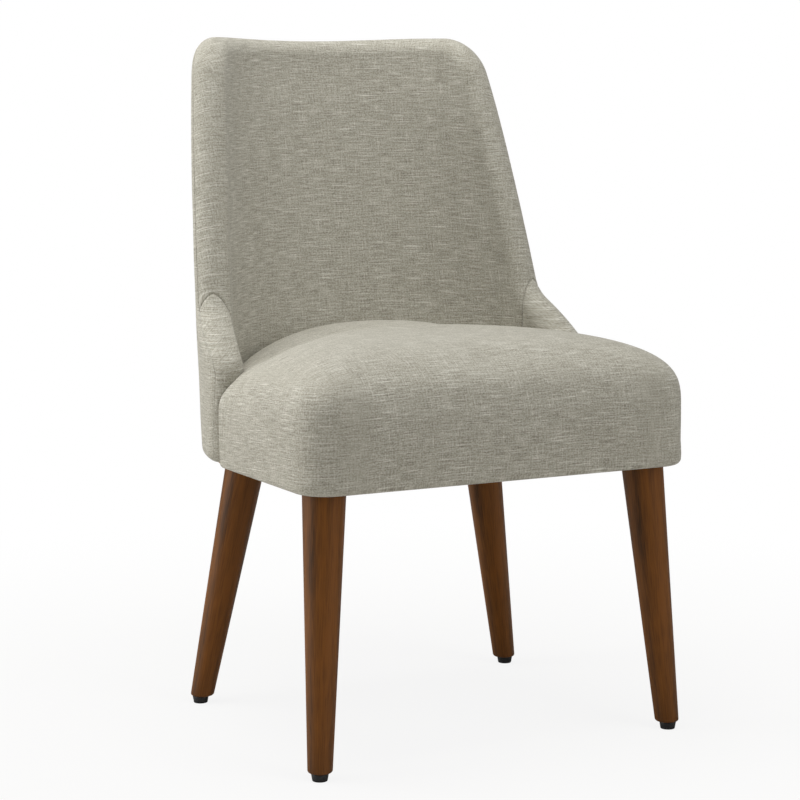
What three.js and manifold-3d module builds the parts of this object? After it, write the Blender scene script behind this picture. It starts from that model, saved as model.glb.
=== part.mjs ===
// Upholstered dining side chair with a barrel back, a domed box seat and four turned, splayed legs.
// Lengths are in millimetres. +Z is up and the chair faces -Y, so +X is its left-hand side as one sits on it.
// Setbacks are measured along +Y from the widest line of the barrel at the level of the seat frame.
import * as THREE from 'three';
import { mergeVertices } from 'three/addons/utils/BufferGeometryUtils.js';
import Module from 'manifold-3d';

const wasm = await Module();
wasm.setup();

// Fits shared by all pieces
const clearance = 0.3;
const overrun = 40;
const mergeDistance = 0.0001;

// Levels above the floor
const frameBottom = 326;
const backTop = 832;

// Seat upholstery
const seatHalfWidth = 257;
const seatFrontReach = 227;
const seatCornerRadius = 42;
const crownRise = 153;
const crownSetback = 48;
const seatFlare = 1.5;
const seatTuck = 4;
const bulgeRise = 62;
const seatDraw = 1;
const seatFootRadius = 7;
const seatHem = 16;
const coverThickness = 1.5;
const sideFullness = 1.9;
const frontFullness = 3.8;
const cornerFullness = 0.75;

// Barrel back, as a leaning and tapering superellipse
const barrelOverhang = 8;
const barrelTaper = 29;
const barrelBulge = 3;
const barrelDepth = 230;
const barrelLean = 96;
const barrelFullness = 2.1;
const backThickness = 44;
const backFootRise = 3;
const backTuckRadius = 12;
const topCornerRadius = 30;
const topDip = 4;
const dipShare = 0.8;

// Side view of the wings' front edge: upright, swept back to the waist, then leaning to the top
const wingSetback = 34;
const wingTipRise = 110;
const waistRise = 169;
const waistSetback = 117;
const wingBendSetback = 167;
const wingBendRise = 354;
const wingTopSetback = 201;
const wingTipRadius = 16;
const waistRadius = 70;
const seamOffset = 18;
const seamSetback = 88;

// Bent plywood shell inside the back
const panelThickness = 8;
const panelInset = 8;
const panelInnerOffset = 7;

// Seat frame
const railThickness = 18;
const curvedRailThickness = 14.5;
const railHeight = 60;
const deckThickness = 12;
const framePadding = 18;
const sidePadding = 13;
const quarterJoint = 120;
const ventRadius = 16;
const ventSpacing = 110;
const dustThickness = 0.8;
const dustMargin = 1;

// Corner blocks and the bolts that hold the legs
const blockHeight = 45;
const blockReach = 78;
const blockDepth = 46;
const frontBoltMargin = 14.1;
const rearBoltMargin = 13.6;
const boltRadius = 4;
const boltInLeg = 42;
const boltPastNut = 4;
const nutBarrelRadius = 5.2;
const nutBarrelLength = 12;
const nutFlangeRadius = 9.5;
const nutFlangeThickness = 1.5;

// Legs
const legTopRadius = 25.2;
const legFootRadius = 14;
const legEndRound = 3;
const frontSplayOut = 22;
const frontSplayForward = 31.5;
const rearSplayOut = 57;
const rearSplayBack = 27.5;
const rearLegTurn = THREE.MathUtils.degToRad(47);

// Levelling glides and their inserts in the leg ends
const glideHeight = 9;
const glideFootRadius = 8.75;
const glideTopRadius = 10.1;
const glideChamfer = 0.8;
const glidePocketDepth = 4.7;
const studRadius = 3;
const studHeadRadius = 6;
const studLength = 25;
const insertRadius = 5;
const insertLength = 18;
const studRoom = 4;

// Bolts that hold the plywood shell to the seat frame
const backBoltRadius = 3;
const backBoltHeadRadius = 5.5;
const backBoltHeadHeight = 3;
const backBoltRise = 30;
const backInsertRadius = 4.6;

// How finely the round shapes are divided
const sweepColumns = 5;
const cornerColumns = 2;
const bendSteps = 2;
const wingSampleCount = 150;
const rimSteps = 6;
const cornerSteps = 4;
const domeRings = 8;
const roundSides = 16;
const legSides = 28;
const frontShares = [0, 0.35, 0.7];
const roundingShares = [0, 0.25, 0.5, 0.75, 1];
const sideShares = [0.35, 0.7, 1];
const halfwayShares = [0.5, 1];

// Levels and offsets that follow from the sizes above
const barrelFootHalfWidth = seatHalfWidth + barrelOverhang;
const barrelTopHalfWidth = barrelFootHalfWidth - barrelTaper;
const halfBack = backThickness / 2;
const backFoot = frameBottom + backFootRise;
const midTop = backTop - halfBack;
const seatFoot = frameBottom - coverThickness - clearance;
const seatSideEnd = wingSetback - halfBack + seatTuck;
const bulgeLevel = frameBottom + bulgeRise;
const railTop = frameBottom + railHeight;
const deckBottom = railTop + clearance;
const deckTop = deckBottom + deckThickness;
const blockTop = frameBottom + blockHeight;
const legTop = frameBottom - clearance;
const legFoot = glideHeight + clearance;
const frameOffset = panelInnerOffset - clearance;
const railInnerOffset = frameOffset - curvedRailThickness;
const frameFront = -(seatFrontReach - framePadding);
const frameHalfWidth = seatHalfWidth - sidePadding;
const foamDepth = coverThickness + clearance;
const farAway = seatHalfWidth + barrelDepth + barrelLean + backTop;

const material = (color, roughness, metalness = 0) =>
  new THREE.MeshStandardMaterial({ color, roughness, metalness });
const linen = material('#a9a597', 0.95);
const foam = material('#e6dcae', 0.95);
const plywood = material('#c9a777', 0.7);
const hardwood = material('#b98d5c', 0.7);
const stainedWood = material('#5b3119', 0.42);
const steel = material('#b9bcc0', 0.35, 1);
const brass = material('#b08d45', 0.4, 1);
const nylon = material('#151515', 0.5);
const nonWoven = material('#202022', 0.95);

const chair = new THREE.Group();

function addPiece(parent, name, shape, look) {
  const geometry = shape.isBufferGeometry ? shape : toGeometry(shape);
  const mesh = new THREE.Mesh(geometry, look);
  mesh.name = name;
  parent.add(mesh);
  return mesh;
}

// Turns a closed mesh into a solid that can be joined and cut
function toSolid(geometry) {
  const bare = geometry.clone();
  bare.deleteAttribute('normal');
  bare.deleteAttribute('uv');
  const merged = mergeVertices(bare, mergeDistance);
  return new wasm.Manifold(new wasm.Mesh({
    numProp: 3,
    vertProperties: merged.attributes.position.array,
    triVerts: merged.index.array,
  }));
}

function toGeometry(solid) {
  const { vertProperties, triVerts } = solid.getMesh();
  const geometry = new THREE.BufferGeometry();
  geometry.setAttribute('position', new THREE.BufferAttribute(vertProperties, 3));
  geometry.setIndex(new THREE.BufferAttribute(triVerts, 1));
  geometry.computeVertexNormals();
  return geometry;
}

// Closed mesh from loose triangles, welded and turned the right way out
function closedMesh(triangles) {
  const volume = triangles.reduce((sum, [a, b, c]) => sum + a.dot(new THREE.Vector3().crossVectors(b, c)), 0);
  const turnedOut = volume < 0 ? triangles.map(([a, b, c]) => [a, c, b]) : triangles;
  const geometry = new THREE.BufferGeometry().setFromPoints(turnedOut.flat());
  return mergeVertices(geometry, mergeDistance);
}

const triangulated = ([a, b, c, d]) => [[a, b, c], [a, c, d]];
const turnedOver = ([a, b, c, d]) => [a, d, c, b];

// Box solid given by its two opposite corners
function boxSolid(low, high) {
  const size = new THREE.Vector3().subVectors(high, low);
  const middle = new THREE.Vector3().addVectors(low, high).multiplyScalar(0.5);
  const geometry = new THREE.BoxGeometry(size.x, size.y, size.z);
  geometry.translate(middle.x, middle.y, middle.z);
  return toSolid(geometry);
}

const corner = (x, y, z) => new THREE.Vector3(x, y, z);

// Solid of revolution about the Z axis, from [radius, height] pairs
function turned(profile, sides) {
  const points = profile.map(([radius, height]) => new THREE.Vector2(radius, height));
  const geometry = new THREE.LatheGeometry(points, sides);
  geometry.rotateX(Math.PI / 2);
  return geometry;
}

const rod = (radius, low, high, sides = roundSides) =>
  turned([[0, low], [radius, low], [radius, high], [0, high]], sides);

const tube = (inner, outer, low, high, sides = roundSides) =>
  turned([[inner, low], [outer, low], [outer, high], [inner, high], [inner, low]], sides);

// Path through corner points with each inner corner rounded off, and a bend at the end round a last point
function roundedPath(corners, radii, bend, end) {
  const path = new THREE.Path();
  path.moveTo(corners[0].x, corners[0].y);
  radii.forEach((radius, k) => {
    const [before, here, after] = corners.slice(k, k + 3);
    const back = before.clone().sub(here);
    const on = after.clone().sub(here);
    const turn = Math.abs(back.angleTo(on)) / 2;
    const cut = Math.min(radius / Math.tan(turn), back.length() / 2, on.length() / 2);
    const start = here.clone().add(back.setLength(cut));
    const end = here.clone().add(on.setLength(cut));
    path.lineTo(start.x, start.y);
    path.quadraticCurveTo(here.x, here.y, end.x, end.y);
  });
  path.quadraticCurveTo(bend.x, bend.y, end.x, end.y);
  return path;
}

// Front edge of the wings in side view, from the top of the tuck to where the top corners begin
const cornerStart = midTop - topCornerRadius;
const wingBend = new THREE.Vector2(wingBendSetback, frameBottom + wingBendRise);
const wingEnd = new THREE.Vector2(wingTopSetback, cornerStart);
const upperSlope = (wingEnd.x - wingBend.x) / (wingEnd.y - wingBend.y);
const wingEdge = roundedPath([
  new THREE.Vector2(wingSetback, backFoot + backTuckRadius),
  new THREE.Vector2(wingSetback, frameBottom + wingTipRise),
  new THREE.Vector2(waistSetback, frameBottom + waistRise),
  wingBend,
], [wingTipRadius, waistRadius], wingBend, wingEnd);
const wingSamples = wingEdge.getSpacedPoints(wingSampleCount);

function wingSetbackAt(level) {
  const last = wingSamples[wingSamples.length - 1];
  if (level >= last.y) return last.x + upperSlope * (level - last.y);
  const above = wingSamples.findIndex((sample) => sample.y > level);
  if (above <= 0) return wingSetback;
  const [low, high] = [wingSamples[above - 1], wingSamples[above]];
  return THREE.MathUtils.lerp(low.x, high.x, (level - low.y) / (high.y - low.y));
}

// Middle surface of the back: where it lies and which way it faces, at one level and one turn round the barrel
const rise = (level) => (level - frameBottom) / (backTop - frameBottom);
const midHalfWidth = (level) =>
  THREE.MathUtils.lerp(barrelFootHalfWidth, barrelTopHalfWidth, rise(level)) - halfBack
  + barrelBulge * Math.sin(Math.PI * rise(level));
const midDepth = barrelDepth - halfBack;
const barrelCentre = (level) => barrelLean * rise(level);

function midPoint(turn, level) {
  const across = Math.sign(turn) * Math.abs(Math.sin(turn)) ** (2 / barrelFullness);
  const along = Math.abs(Math.cos(turn)) ** (2 / barrelFullness);
  const point = corner(midHalfWidth(level) * across, barrelCentre(level) + midDepth * along, level);
  const facing = corner(
    Math.sign(across) * Math.abs(across) ** (barrelFullness - 1) / midHalfWidth(level),
    along ** (barrelFullness - 1) / midDepth,
    0,
  ).normalize();
  return { point, facing };
}

function lipTurn(level) {
  const along = (wingSetbackAt(level) - barrelCentre(level)) / midDepth;
  return Math.acos(THREE.MathUtils.clamp(along, 0, 1) ** (barrelFullness / 2));
}

function halfArc(level) {
  const steps = 4 * sweepColumns;
  const turns = Array.from({ length: steps + 1 }, (_, k) => lipTurn(level) * k / steps);
  const points = turns.map((turn) => midPoint(turn, level).point);
  return points.slice(1).reduce((sum, point, k) => sum + point.distanceTo(points[k]), 0);
}

// Place on the middle surface, with the top corners rounded and the top edge dipped in the middle.
// The share runs from -1 at the right lip to 1 at the left lip.
function backPlace(share, level) {
  const arc = halfArc(level);
  const beyond = Math.abs(share) * arc - (arc - topCornerRadius);
  const above = level - cornerStart;
  let run = Math.abs(share) * arc;
  let height = level;
  if (beyond > 0 && above > 0) {
    const reach = Math.max(beyond, above) / Math.hypot(beyond, above);
    run = arc - topCornerRadius + beyond * reach;
    height = cornerStart + above * reach;
  }
  const rounded = Math.sign(share) * run / arc;
  const waistLevel = frameBottom + waistRise;
  const climb = THREE.MathUtils.clamp((height - waistLevel) / (midTop - waistLevel), 0, 1);
  const bump = (1 + Math.cos(Math.PI * Math.min(1, Math.abs(rounded) / dipShare))) / 2;
  const dipped = height - topDip * bump * climb * climb;
  return midPoint(rounded * lipTurn(dipped), dipped);
}

// Columns round the barrel, closer together at the lips, and rows up the wing edge
const cornerShare = 1 - topCornerRadius / halfArc(cornerStart);
const halfColumns = [
  ...Array.from({ length: sweepColumns }, (_, k) => cornerShare * k / sweepColumns),
  ...Array.from({ length: cornerColumns + 1 }, (_, k) => cornerShare + (1 - cornerShare) * k / cornerColumns),
];
const columnShares = [...halfColumns.slice(1).reverse().map((share) => -share), ...halfColumns];
const sweepLevels = wingEdge.getPoints(bendSteps).map((sample) => sample.y);
const cornerLevels = halfwayShares.map((share) => cornerStart + topCornerRadius * share);

// Net of places on the back. Each row has a level and the offsets of its inner and outer faces.
function backNet(rows, shares = columnShares) {
  return rows.map((row) => shares.map((share) => ({ ...backPlace(share, row.level), ...row })));
}

// Rows of the layer that lies a given depth below the fabric's outer face, with its tucked foot
function layerRows(depth, tucked = true) {
  const inner = -(halfBack - depth);
  const tuck = [Math.PI / 2, Math.PI / 4].map((angle) => ({
    level: backFoot + backTuckRadius - (backTuckRadius - depth) * Math.sin(angle),
    inner,
    outer: halfBack - backTuckRadius + (backTuckRadius - depth) * Math.cos(angle),
  }));
  const straight = [...sweepLevels, ...cornerLevels].map((level) => ({ level, inner, outer: halfBack - depth }));
  const foot = [{ level: seatFoot - overrun, inner, outer: halfBack - depth }];
  return [...(tucked ? tuck : foot), ...straight];
}

const offsetPoint = (place, offset) => place.point.clone().addScaledVector(place.facing, offset);

// The net's free border: up the right lip, along the top and down the left lip, with the way out at each place
function netBorder(net) {
  const columns = net[0].length;
  const rows = net.length;
  const border = [
    ...net.map((_, row) => [row, 0]),
    ...Array.from({ length: columns - 2 }, (_, k) => [rows - 1, k + 1]),
    ...net.map((_, row) => [rows - 1 - row, columns - 1]),
  ];
  return border.map(([row, column], k) => {
    const place = net[row][column];
    const [beforeRow, beforeColumn] = border[Math.max(k - 1, 0)];
    const [afterRow, afterColumn] = border[Math.min(k + 1, border.length - 1)];
    const along = net[afterRow][afterColumn].point.clone().sub(net[beforeRow][beforeColumn].point);
    return { row, column, place, out: along.cross(place.facing).normalize() };
  });
}

function rimPoint({ place, out }, angle) {
  const middle = (place.outer + place.inner) / 2;
  const radius = (place.outer - place.inner) / 2;
  return offsetPoint(place, middle + radius * Math.cos(angle)).addScaledVector(out, radius * Math.sin(angle));
}

// Quads between two rows of equal length. The far half is split along the other diagonal, so both halves
// of the chair mirror each other.
function strip(first, second) {
  const quads = first.slice(1).map((_, k) => [first[k], first[k + 1], second[k + 1], second[k]]);
  return quads.map(([a, b, c, d], k) => (k < quads.length / 2 ? [a, b, c, d] : [b, c, d, a]));
}

// The net's inner face, carried round its rim to the outer face
function rolledFace(net) {
  const points = [];
  const place = (point) => points.push(point) - 1;
  const rows = net.map((places) => places.map((spot) => place(offsetPoint(spot, spot.inner))));
  const quads = rows.slice(1).flatMap((row, k) => strip(rows[k], row));
  const border = netBorder(net);
  let ring = border.map(({ row, column }) => rows[row][column]);
  const rings = [ring];
  for (let step = 1; step <= rimSteps; step++) {
    const next = border.map((edge) => place(rimPoint(edge, Math.PI * (1 - step / rimSteps))));
    quads.push(...strip(ring, next));
    rings.push(next);
    ring = next;
  }
  return { points, quads, rings };
}

const quadTriangles = ({ points, quads }) =>
  quads.flatMap((quad) => triangulated(quad.map((number) => points[number])));

// Closes two like faces into one thin body, with a wall wherever an edge belongs to one quad only
function thicken(face, lining) {
  const free = new Map();
  face.quads.forEach((quad) => quad.forEach((from, k) => {
    const to = quad[(k + 1) % quad.length];
    if (!free.delete(`${to},${from}`)) free.set(`${from},${to}`, [from, to]);
  }));
  const walls = [...free.values()].flatMap(([from, to]) =>
    triangulated([face.points[to], face.points[from], lining.points[from], lining.points[to]]));
  const inside = quadTriangles(lining).map(([a, b, c]) => [a, c, b]);
  return closedMesh([...quadTriangles(face), ...inside, ...walls]);
}

// Full body of the back with its rims, from rows that say where its two faces lie
function backBody(rows, shares = columnShares) {
  const net = backNet(rows, shares);
  const face = rolledFace(net);
  const outside = net.map((places) => places.map((spot) => offsetPoint(spot, spot.outer)));
  const inside = net[0].map((spot) => offsetPoint(spot, spot.inner));
  const back = outside.slice(1).flatMap((row, k) => strip(outside[k], row)).map(turnedOver);
  const foot = strip(outside[0], inside);
  const lips = [[0, 1], [face.rings[0].length - 1, -1]].flatMap(([end, way]) => {
    const arc = face.rings.map((ring) => face.points[ring[end]]);
    return arc.slice(2).map((point, k) => (way > 0 ? [arc[0], arc[k + 1], point] : [arc[0], point, arc[k + 1]]));
  });
  return closedMesh([...quadTriangles(face), ...[...back, ...foot].flatMap(triangulated), ...lips]);
}

// Everything between the wings: what lies inside a given offset from the back's middle surface
function insideBarrel(offset, low, high, shares = columnShares) {
  const levels = [low, ...sweepLevels.filter((level) => level > low && level < high), high];
  const rings = levels.map((level) => {
    const arc = shares.map((share) => offsetPoint(backPlace(share, level), offset));
    const ahead = (point) => corner(point.x, -farAway, level);
    return [corner(0, -farAway, level), ahead(arc[0]), ...arc, ahead(arc[arc.length - 1])];
  });
  return toSolid(ringBody(rings));
}

// Stack of closed rings with like numbers of points, capped at both ends from a middle point
function ringBody(rings, lowPole, highPole) {
  const looped = rings.map((ring) => [...ring, ring[0]]);
  const walls = looped.slice(1).flatMap((ring, k) => strip(looped[k], ring)).flatMap(triangulated);
  const middle = (ring) => ring.reduce((sum, point) => sum.add(point), corner(0, 0, 0)).divideScalar(ring.length);
  const cap = (ring, pole) => ring.slice(1).map((point, k) => [pole, point, ring[k]]);
  const low = cap(looped[0], lowPole ?? middle(rings[0]));
  const high = cap(looped[looped.length - 1], highPole ?? middle(rings[rings.length - 1]));
  return closedMesh([...walls, ...low, ...high.map(([a, b, c]) => [a, c, b])]);
}

// Seat outline at one level, a given depth below the fabric: a rounded front, sides that flare a little
// towards the wings, and the barrel behind them. The front and the sides may be drawn in further.
function seatOutline(level, depth, drawn = 0) {
  const half = seatHalfWidth - depth - drawn;
  const front = -(seatFrontReach - depth - drawn);
  const radius = seatCornerRadius - depth - drawn;
  const arcMiddle = new THREE.Vector2(half - seatFlare - radius, front + radius);
  const frontEdge = frontShares.map((share) => corner(arcMiddle.x * share, front, level));
  const rounding = roundingShares.map((share) => {
    const angle = (share - 1) * Math.PI / 2;
    return corner(arcMiddle.x + radius * Math.cos(angle), arcMiddle.y + radius * Math.sin(angle), level);
  });
  const side = sideShares.map((share) => {
    const flared = THREE.MathUtils.lerp(half - seatFlare, half + seatFlare, share);
    return corner(flared, THREE.MathUtils.lerp(arcMiddle.y, seatSideEnd, share), level);
  });
  const behind = [...halfColumns].reverse().map((share) => offsetPoint(backPlace(share, level), -depth));
  const leftHalf = [...frontEdge, ...rounding, ...side, ...behind];
  const rightHalf = leftHalf.slice(1, -1).reverse().map(({ x, y, z }) => corner(-x, y, z));
  return [...leftHalf, ...rightHalf];
}

// Rings of the seat's upholstery a given depth below the fabric, from the crown down to the hem
function seatRings(depth, hem) {
  const middle = corner(0, crownSetback, 0);
  const height = crownRise - bulgeRise - depth;
  const shape = seatOutline(bulgeLevel, depth);
  const dome = Array.from({ length: domeRings }, (_, k) => {
    const angle = Math.PI / 2 * (k + 1) / domeRings;
    return shape.map((_, place) => {
      const away = shape[place].clone().sub(middle).setZ(0).normalize();
      const power = THREE.MathUtils.lerp(sideFullness, frontFullness, away.y * away.y)
        + cornerFullness * Math.abs(2 * away.x * away.y) * (away.y < 0 ? 1 : 0);
      const level = bulgeLevel + height * Math.max(0, Math.cos(angle)) ** (2 / power);
      const share = Math.sin(angle) ** (2 / power);
      const edge = seatOutline(level, depth)[place];
      return corner(edge.x * share, THREE.MathUtils.lerp(middle.y, edge.y, share), level);
    });
  });
  const foot = seatFoot + seatFootRadius;
  const drawn = halfwayShares.map((share) => {
    const level = THREE.MathUtils.lerp(bulgeLevel, foot, share);
    return seatOutline(level, depth, seatDraw * share * share);
  });
  const rounding = [Math.PI / 4, Math.PI / 2].map((angle) => {
    const radius = seatFootRadius - depth;
    return seatOutline(foot - radius * Math.sin(angle), depth, seatDraw + radius * (1 - Math.cos(angle)));
  });
  const turnedIn = hem ? [seatOutline(seatFoot + depth, depth, seatDraw + seatHem - depth)] : [];
  return [...dome, ...drawn, ...rounding, ...turnedIn];
}

const crownPoint = (depth) => corner(0, crownSetback, frameBottom + crownRise - depth);

// Room that the back and wings take out of the seat's upholstery
function barrelRoom() {
  const wings = toSolid(backBody(layerRows(-clearance, false)));
  const lip = midPoint(lipTurn(bulgeLevel), bulgeLevel).point.x;
  const beside = boxSolid(corner(lip, seatSideEnd, seatFoot - overrun), corner(farAway, farAway, backTop));
  return wings.add(beside).add(beside.mirror([1, 0, 0]));
}

// Plate with rounded front corners, given depths inside the seat's front and sides, running back without end
function frontPlate(depth, sideDepth, low, high) {
  const half = seatHalfWidth - sideDepth;
  const front = -(seatFrontReach - depth);
  const radius = seatCornerRadius - depth;
  const shape = new THREE.Shape();
  shape.moveTo(-half, farAway);
  shape.lineTo(-half, front + radius);
  shape.absarc(radius - half, front + radius, radius, Math.PI, 3 * Math.PI / 2);
  shape.absarc(half - radius, front + radius, radius, 3 * Math.PI / 2, 2 * Math.PI);
  shape.lineTo(half, farAway);
  const geometry = new THREE.ExtrudeGeometry(shape, {
    depth: high - low, bevelEnabled: false, curveSegments: cornerSteps,
  });
  geometry.translate(0, 0, low);
  return toSolid(geometry);
}

// The seat frame's outer shape between two levels, a given amount larger all round
function frameBlock(low, high, growth = 0) {
  return frontPlate(framePadding - growth, sidePadding - growth, low, high)
    .intersect(insideBarrel(frameOffset + growth, low - overrun, high + overrun));
}

function addSeat() {
  const room = barrelRoom();
  const filled = toSolid(ringBody(seatRings(0, true), crownPoint(0)));
  const opening = seatOutline(seatFoot - overrun, coverThickness, seatDraw + seatHem - coverThickness);
  const hollow = toSolid(ringBody([...seatRings(coverThickness, true), opening], crownPoint(coverThickness)));
  addPiece(chair, 'seat_cover', filled.subtract(hollow).subtract(room), linen);

  const cushion = ringBody(seatRings(foamDepth, false), crownPoint(foamDepth));
  const inside = frameBlock(seatFoot - overrun, deckTop + clearance, clearance);
  addPiece(chair, 'seat_foam', toSolid(cushion).subtract(room).subtract(inside), foam);
}

// Plywood deck with vent holes that let the foam breathe when one sits down
function addDeck() {
  const vent = toSolid(rod(ventRadius, deckBottom - clearance, deckTop + clearance));
  const placesAcross = [-1, 0, 1];
  const placesAlong = [-1, 0, 1];
  let deck = frameBlock(deckBottom, deckTop);
  placesAcross.forEach((across) => placesAlong.forEach((along) => {
    deck = deck.subtract(vent.translate([across * ventSpacing, along * ventSpacing, 0]));
  }));
  addPiece(chair, 'seat_deck', deck, plywood);
}

// Where a bolt goes through the barrel's frame: a place on a flat facet and the way that the facet faces
function facetPlace(column, level, offset) {
  const edges = [columnShares[column], columnShares[column + 1]];
  const low = edges.map((share) => offsetPoint(backPlace(share, level), offset));
  const high = edges.map((share) => offsetPoint(backPlace(share, level + backBoltRise), offset));
  const place = low[0].clone().lerp(low[1], 0.5);
  const facing = low[1].clone().sub(low[0]).cross(high[0].clone().sub(low[0])).normalize();
  return { place, facing: facing.y < 0 ? facing.negate() : facing };
}

// The bolts on each side go through the rear rail and the front end of the quarter rail
const boltColumns = { rear: halfColumns.length - 1, wing: columnShares.length - 3 };
const backBoltLevel = frameBottom + backBoltRise;
const sides = [['left', 1], ['right', -1]];

function alongFacet(piece, column, way) {
  const { place, facing } = facetPlace(column, backBoltLevel, panelInnerOffset);
  const outward = corner(way * facing.x, facing.y, facing.z);
  const geometry = piece.clone();
  geometry.applyQuaternion(new THREE.Quaternion().setFromUnitVectors(corner(0, 0, 1), outward));
  geometry.translate(way * place.x, place.y, place.z);
  return geometry;
}

// Cuts the same hole on every back bolt's line
function drilled(solid, radius) {
  const drill = rod(radius, -overrun, overrun);
  return Object.values(boltColumns).reduce((rest, column) =>
    sides.reduce((left, [, way]) => left.subtract(toSolid(alongFacet(drill, column, way))), rest), solid);
}

// Rails of the seat frame. The three at the back are sawn to the curve of the barrel.
function addRails() {
  const shape = frontPlate(framePadding, sidePadding, frameBottom, railTop);
  const rail = (name, low, high) => addPiece(chair, name, boxSolid(low, high).intersect(shape), hardwood);
  const inner = frameHalfWidth - railThickness;
  const sideFront = frameFront + railThickness + clearance;
  const sideBack = wingSetback - clearance;
  rail('front_rail', corner(-frameHalfWidth, frameFront, frameBottom),
    corner(frameHalfWidth, frameFront + railThickness, railTop));
  rail('side_rail_left', corner(inner, sideFront, frameBottom), corner(frameHalfWidth, sideBack, railTop));
  rail('side_rail_right', corner(-frameHalfWidth, sideFront, frameBottom), corner(-inner, sideBack, railTop));

  const behind = boxSolid(corner(-farAway, wingSetback, frameBottom), corner(farAway, farAway, railTop));
  const curved = insideBarrel(frameOffset, frameBottom, railTop).intersect(behind)
    .subtract(insideBarrel(railInnerOffset, frameBottom - overrun, railTop + overrun));
  const band = drilled(curved, backBoltRadius + clearance);
  const between = (low, high) => boxSolid(corner(low, wingSetback, 0), corner(high, farAway, backTop));
  const half = quarterJoint - clearance / 2;
  addPiece(chair, 'rear_rail', band.intersect(between(-half, half)), hardwood);
  addPiece(chair, 'quarter_rail_left', band.intersect(between(half + clearance, farAway)), hardwood);
  addPiece(chair, 'quarter_rail_right', band.intersect(between(-farAway, -half - clearance)), hardwood);
}

// Leg bolts stand just inside the rails
const frontBolt = corner(frameHalfWidth - railThickness, frameFront + railThickness, 0)
  .add(corner(-frontBoltMargin, frontBoltMargin, 0));
const rearShare = rearLegTurn / lipTurn(blockTop);
const rearPlace = backPlace(rearShare, blockTop);
const rearBolt = offsetPoint(rearPlace, railInnerOffset - rearBoltMargin).setZ(0);
const boltTop = blockTop + nutFlangeThickness + clearance + boltPastNut;
const boltBottom = legTop - boltInLeg;

function addBlock(name, outline, bolt, limit) {
  const shape = new THREE.Shape(outline.map(({ x, y }) => new THREE.Vector2(x, y)));
  const geometry = new THREE.ExtrudeGeometry(shape, { depth: blockHeight, bevelEnabled: false });
  geometry.translate(0, 0, frameBottom);
  const hole = toSolid(rod(boltRadius + clearance, 0, backTop)).translate([bolt.x, bolt.y, 0]);
  const nutSeat = toSolid(rod(nutBarrelRadius + clearance, blockTop - nutBarrelLength - clearance, backTop));
  let block = toSolid(geometry).subtract(hole).subtract(nutSeat.translate([bolt.x, bolt.y, 0]));
  if (limit) block = block.intersect(limit);
  addPiece(chair, name, block, hardwood);
}

function addBlocks() {
  const limit = insideBarrel(railInnerOffset - clearance, frameBottom - overrun, blockTop + overrun);
  sides.forEach(([side, way]) => {
    const x = frameHalfWidth - railThickness - clearance;
    const y = frameFront + railThickness + clearance;
    const cut = blockReach - blockDepth;
    const front = [[x, y], [x, y + blockReach], [x - cut, y + blockReach], [x - blockReach, y + cut],
      [x - blockReach, y]];
    addBlock(`corner_block_front_${side}`, front.map(([a, b]) => corner(way * a, b, 0)),
      corner(way * frontBolt.x, frontBolt.y, 0));

    const along = corner(rearPlace.facing.y, -rearPlace.facing.x, 0);
    const rear = [[-1, 1], [1, 1], [1, -1], [-1, -1]].map(([a, b]) => rearBolt.clone()
      .addScaledVector(along, a * blockReach / 2)
      .addScaledVector(rearPlace.facing, b * blockDepth / 2));
    addBlock(`corner_block_rear_${side}`, rear.map((point) => corner(way * point.x, point.y, 0)),
      corner(way * rearBolt.x, rearBolt.y, 0), limit);
  });
}

// Bent plywood shell inside the back, a given amount larger all round
function panelBody(growth = 0) {
  const last = 1 - (panelInset - growth) / halfArc(cornerStart);
  const shares = columnShares.map((share) => THREE.MathUtils.clamp(share, -last, last));
  const low = backFoot + backTuckRadius / 2 - growth;
  const high = midTop - panelInset + growth;
  const levels = [low, ...sweepLevels, cornerLevels[0], high];
  const rows = levels.map((level) => ({
    level,
    inner: panelInnerOffset - growth,
    outer: panelInnerOffset + panelThickness + growth,
  }));
  const net = backNet(rows, shares);
  const [inner, outer] = ['inner', 'outer'].map((side) => {
    const points = net.flat().map((spot) => offsetPoint(spot, spot[side]));
    const numbers = net.map((places, row) => places.map((_, column) => row * places.length + column));
    return { points, quads: numbers.slice(1).flatMap((row, k) => strip(numbers[k], row)) };
  });
  return toSolid(thicken(inner, outer));
}

function addBack() {
  const frameRoom = insideBarrel(panelInnerOffset, seatFoot - overrun, deckTop + clearance);
  addPiece(chair, 'back_panel', drilled(panelBody(), backInsertRadius + clearance), plywood);

  const padding = toSolid(backBody(layerRows(foamDepth)));
  const behindRails = insideBarrel(panelInnerOffset + panelThickness / 2, seatFoot - overrun, deckTop + clearance);
  addPiece(chair, 'back_foam', padding.subtract(panelBody(clearance)).subtract(behindRails), foam);

  const skin = toSolid(backBody(layerRows(0))).subtract(toSolid(backBody(layerRows(coverThickness))))
    .subtract(frameRoom);
  addPiece(chair, 'inside_back_cover', skin.intersect(seamRoom(0)), linen);
  addPiece(chair, 'outside_back_cover', skin.subtract(seamRoom(clearance)), linen);
}

// What the inside cover spans: all behind the seam on the wings and inside the seam on the outer face
function seamRoom(growth) {
  const behind = boxSolid(corner(-farAway, seamSetback - growth, 0), corner(farAway, farAway, farAway));
  return insideBarrel(seamOffset + growth, deckBottom, backTop + overrun).intersect(behind);
}

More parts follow.
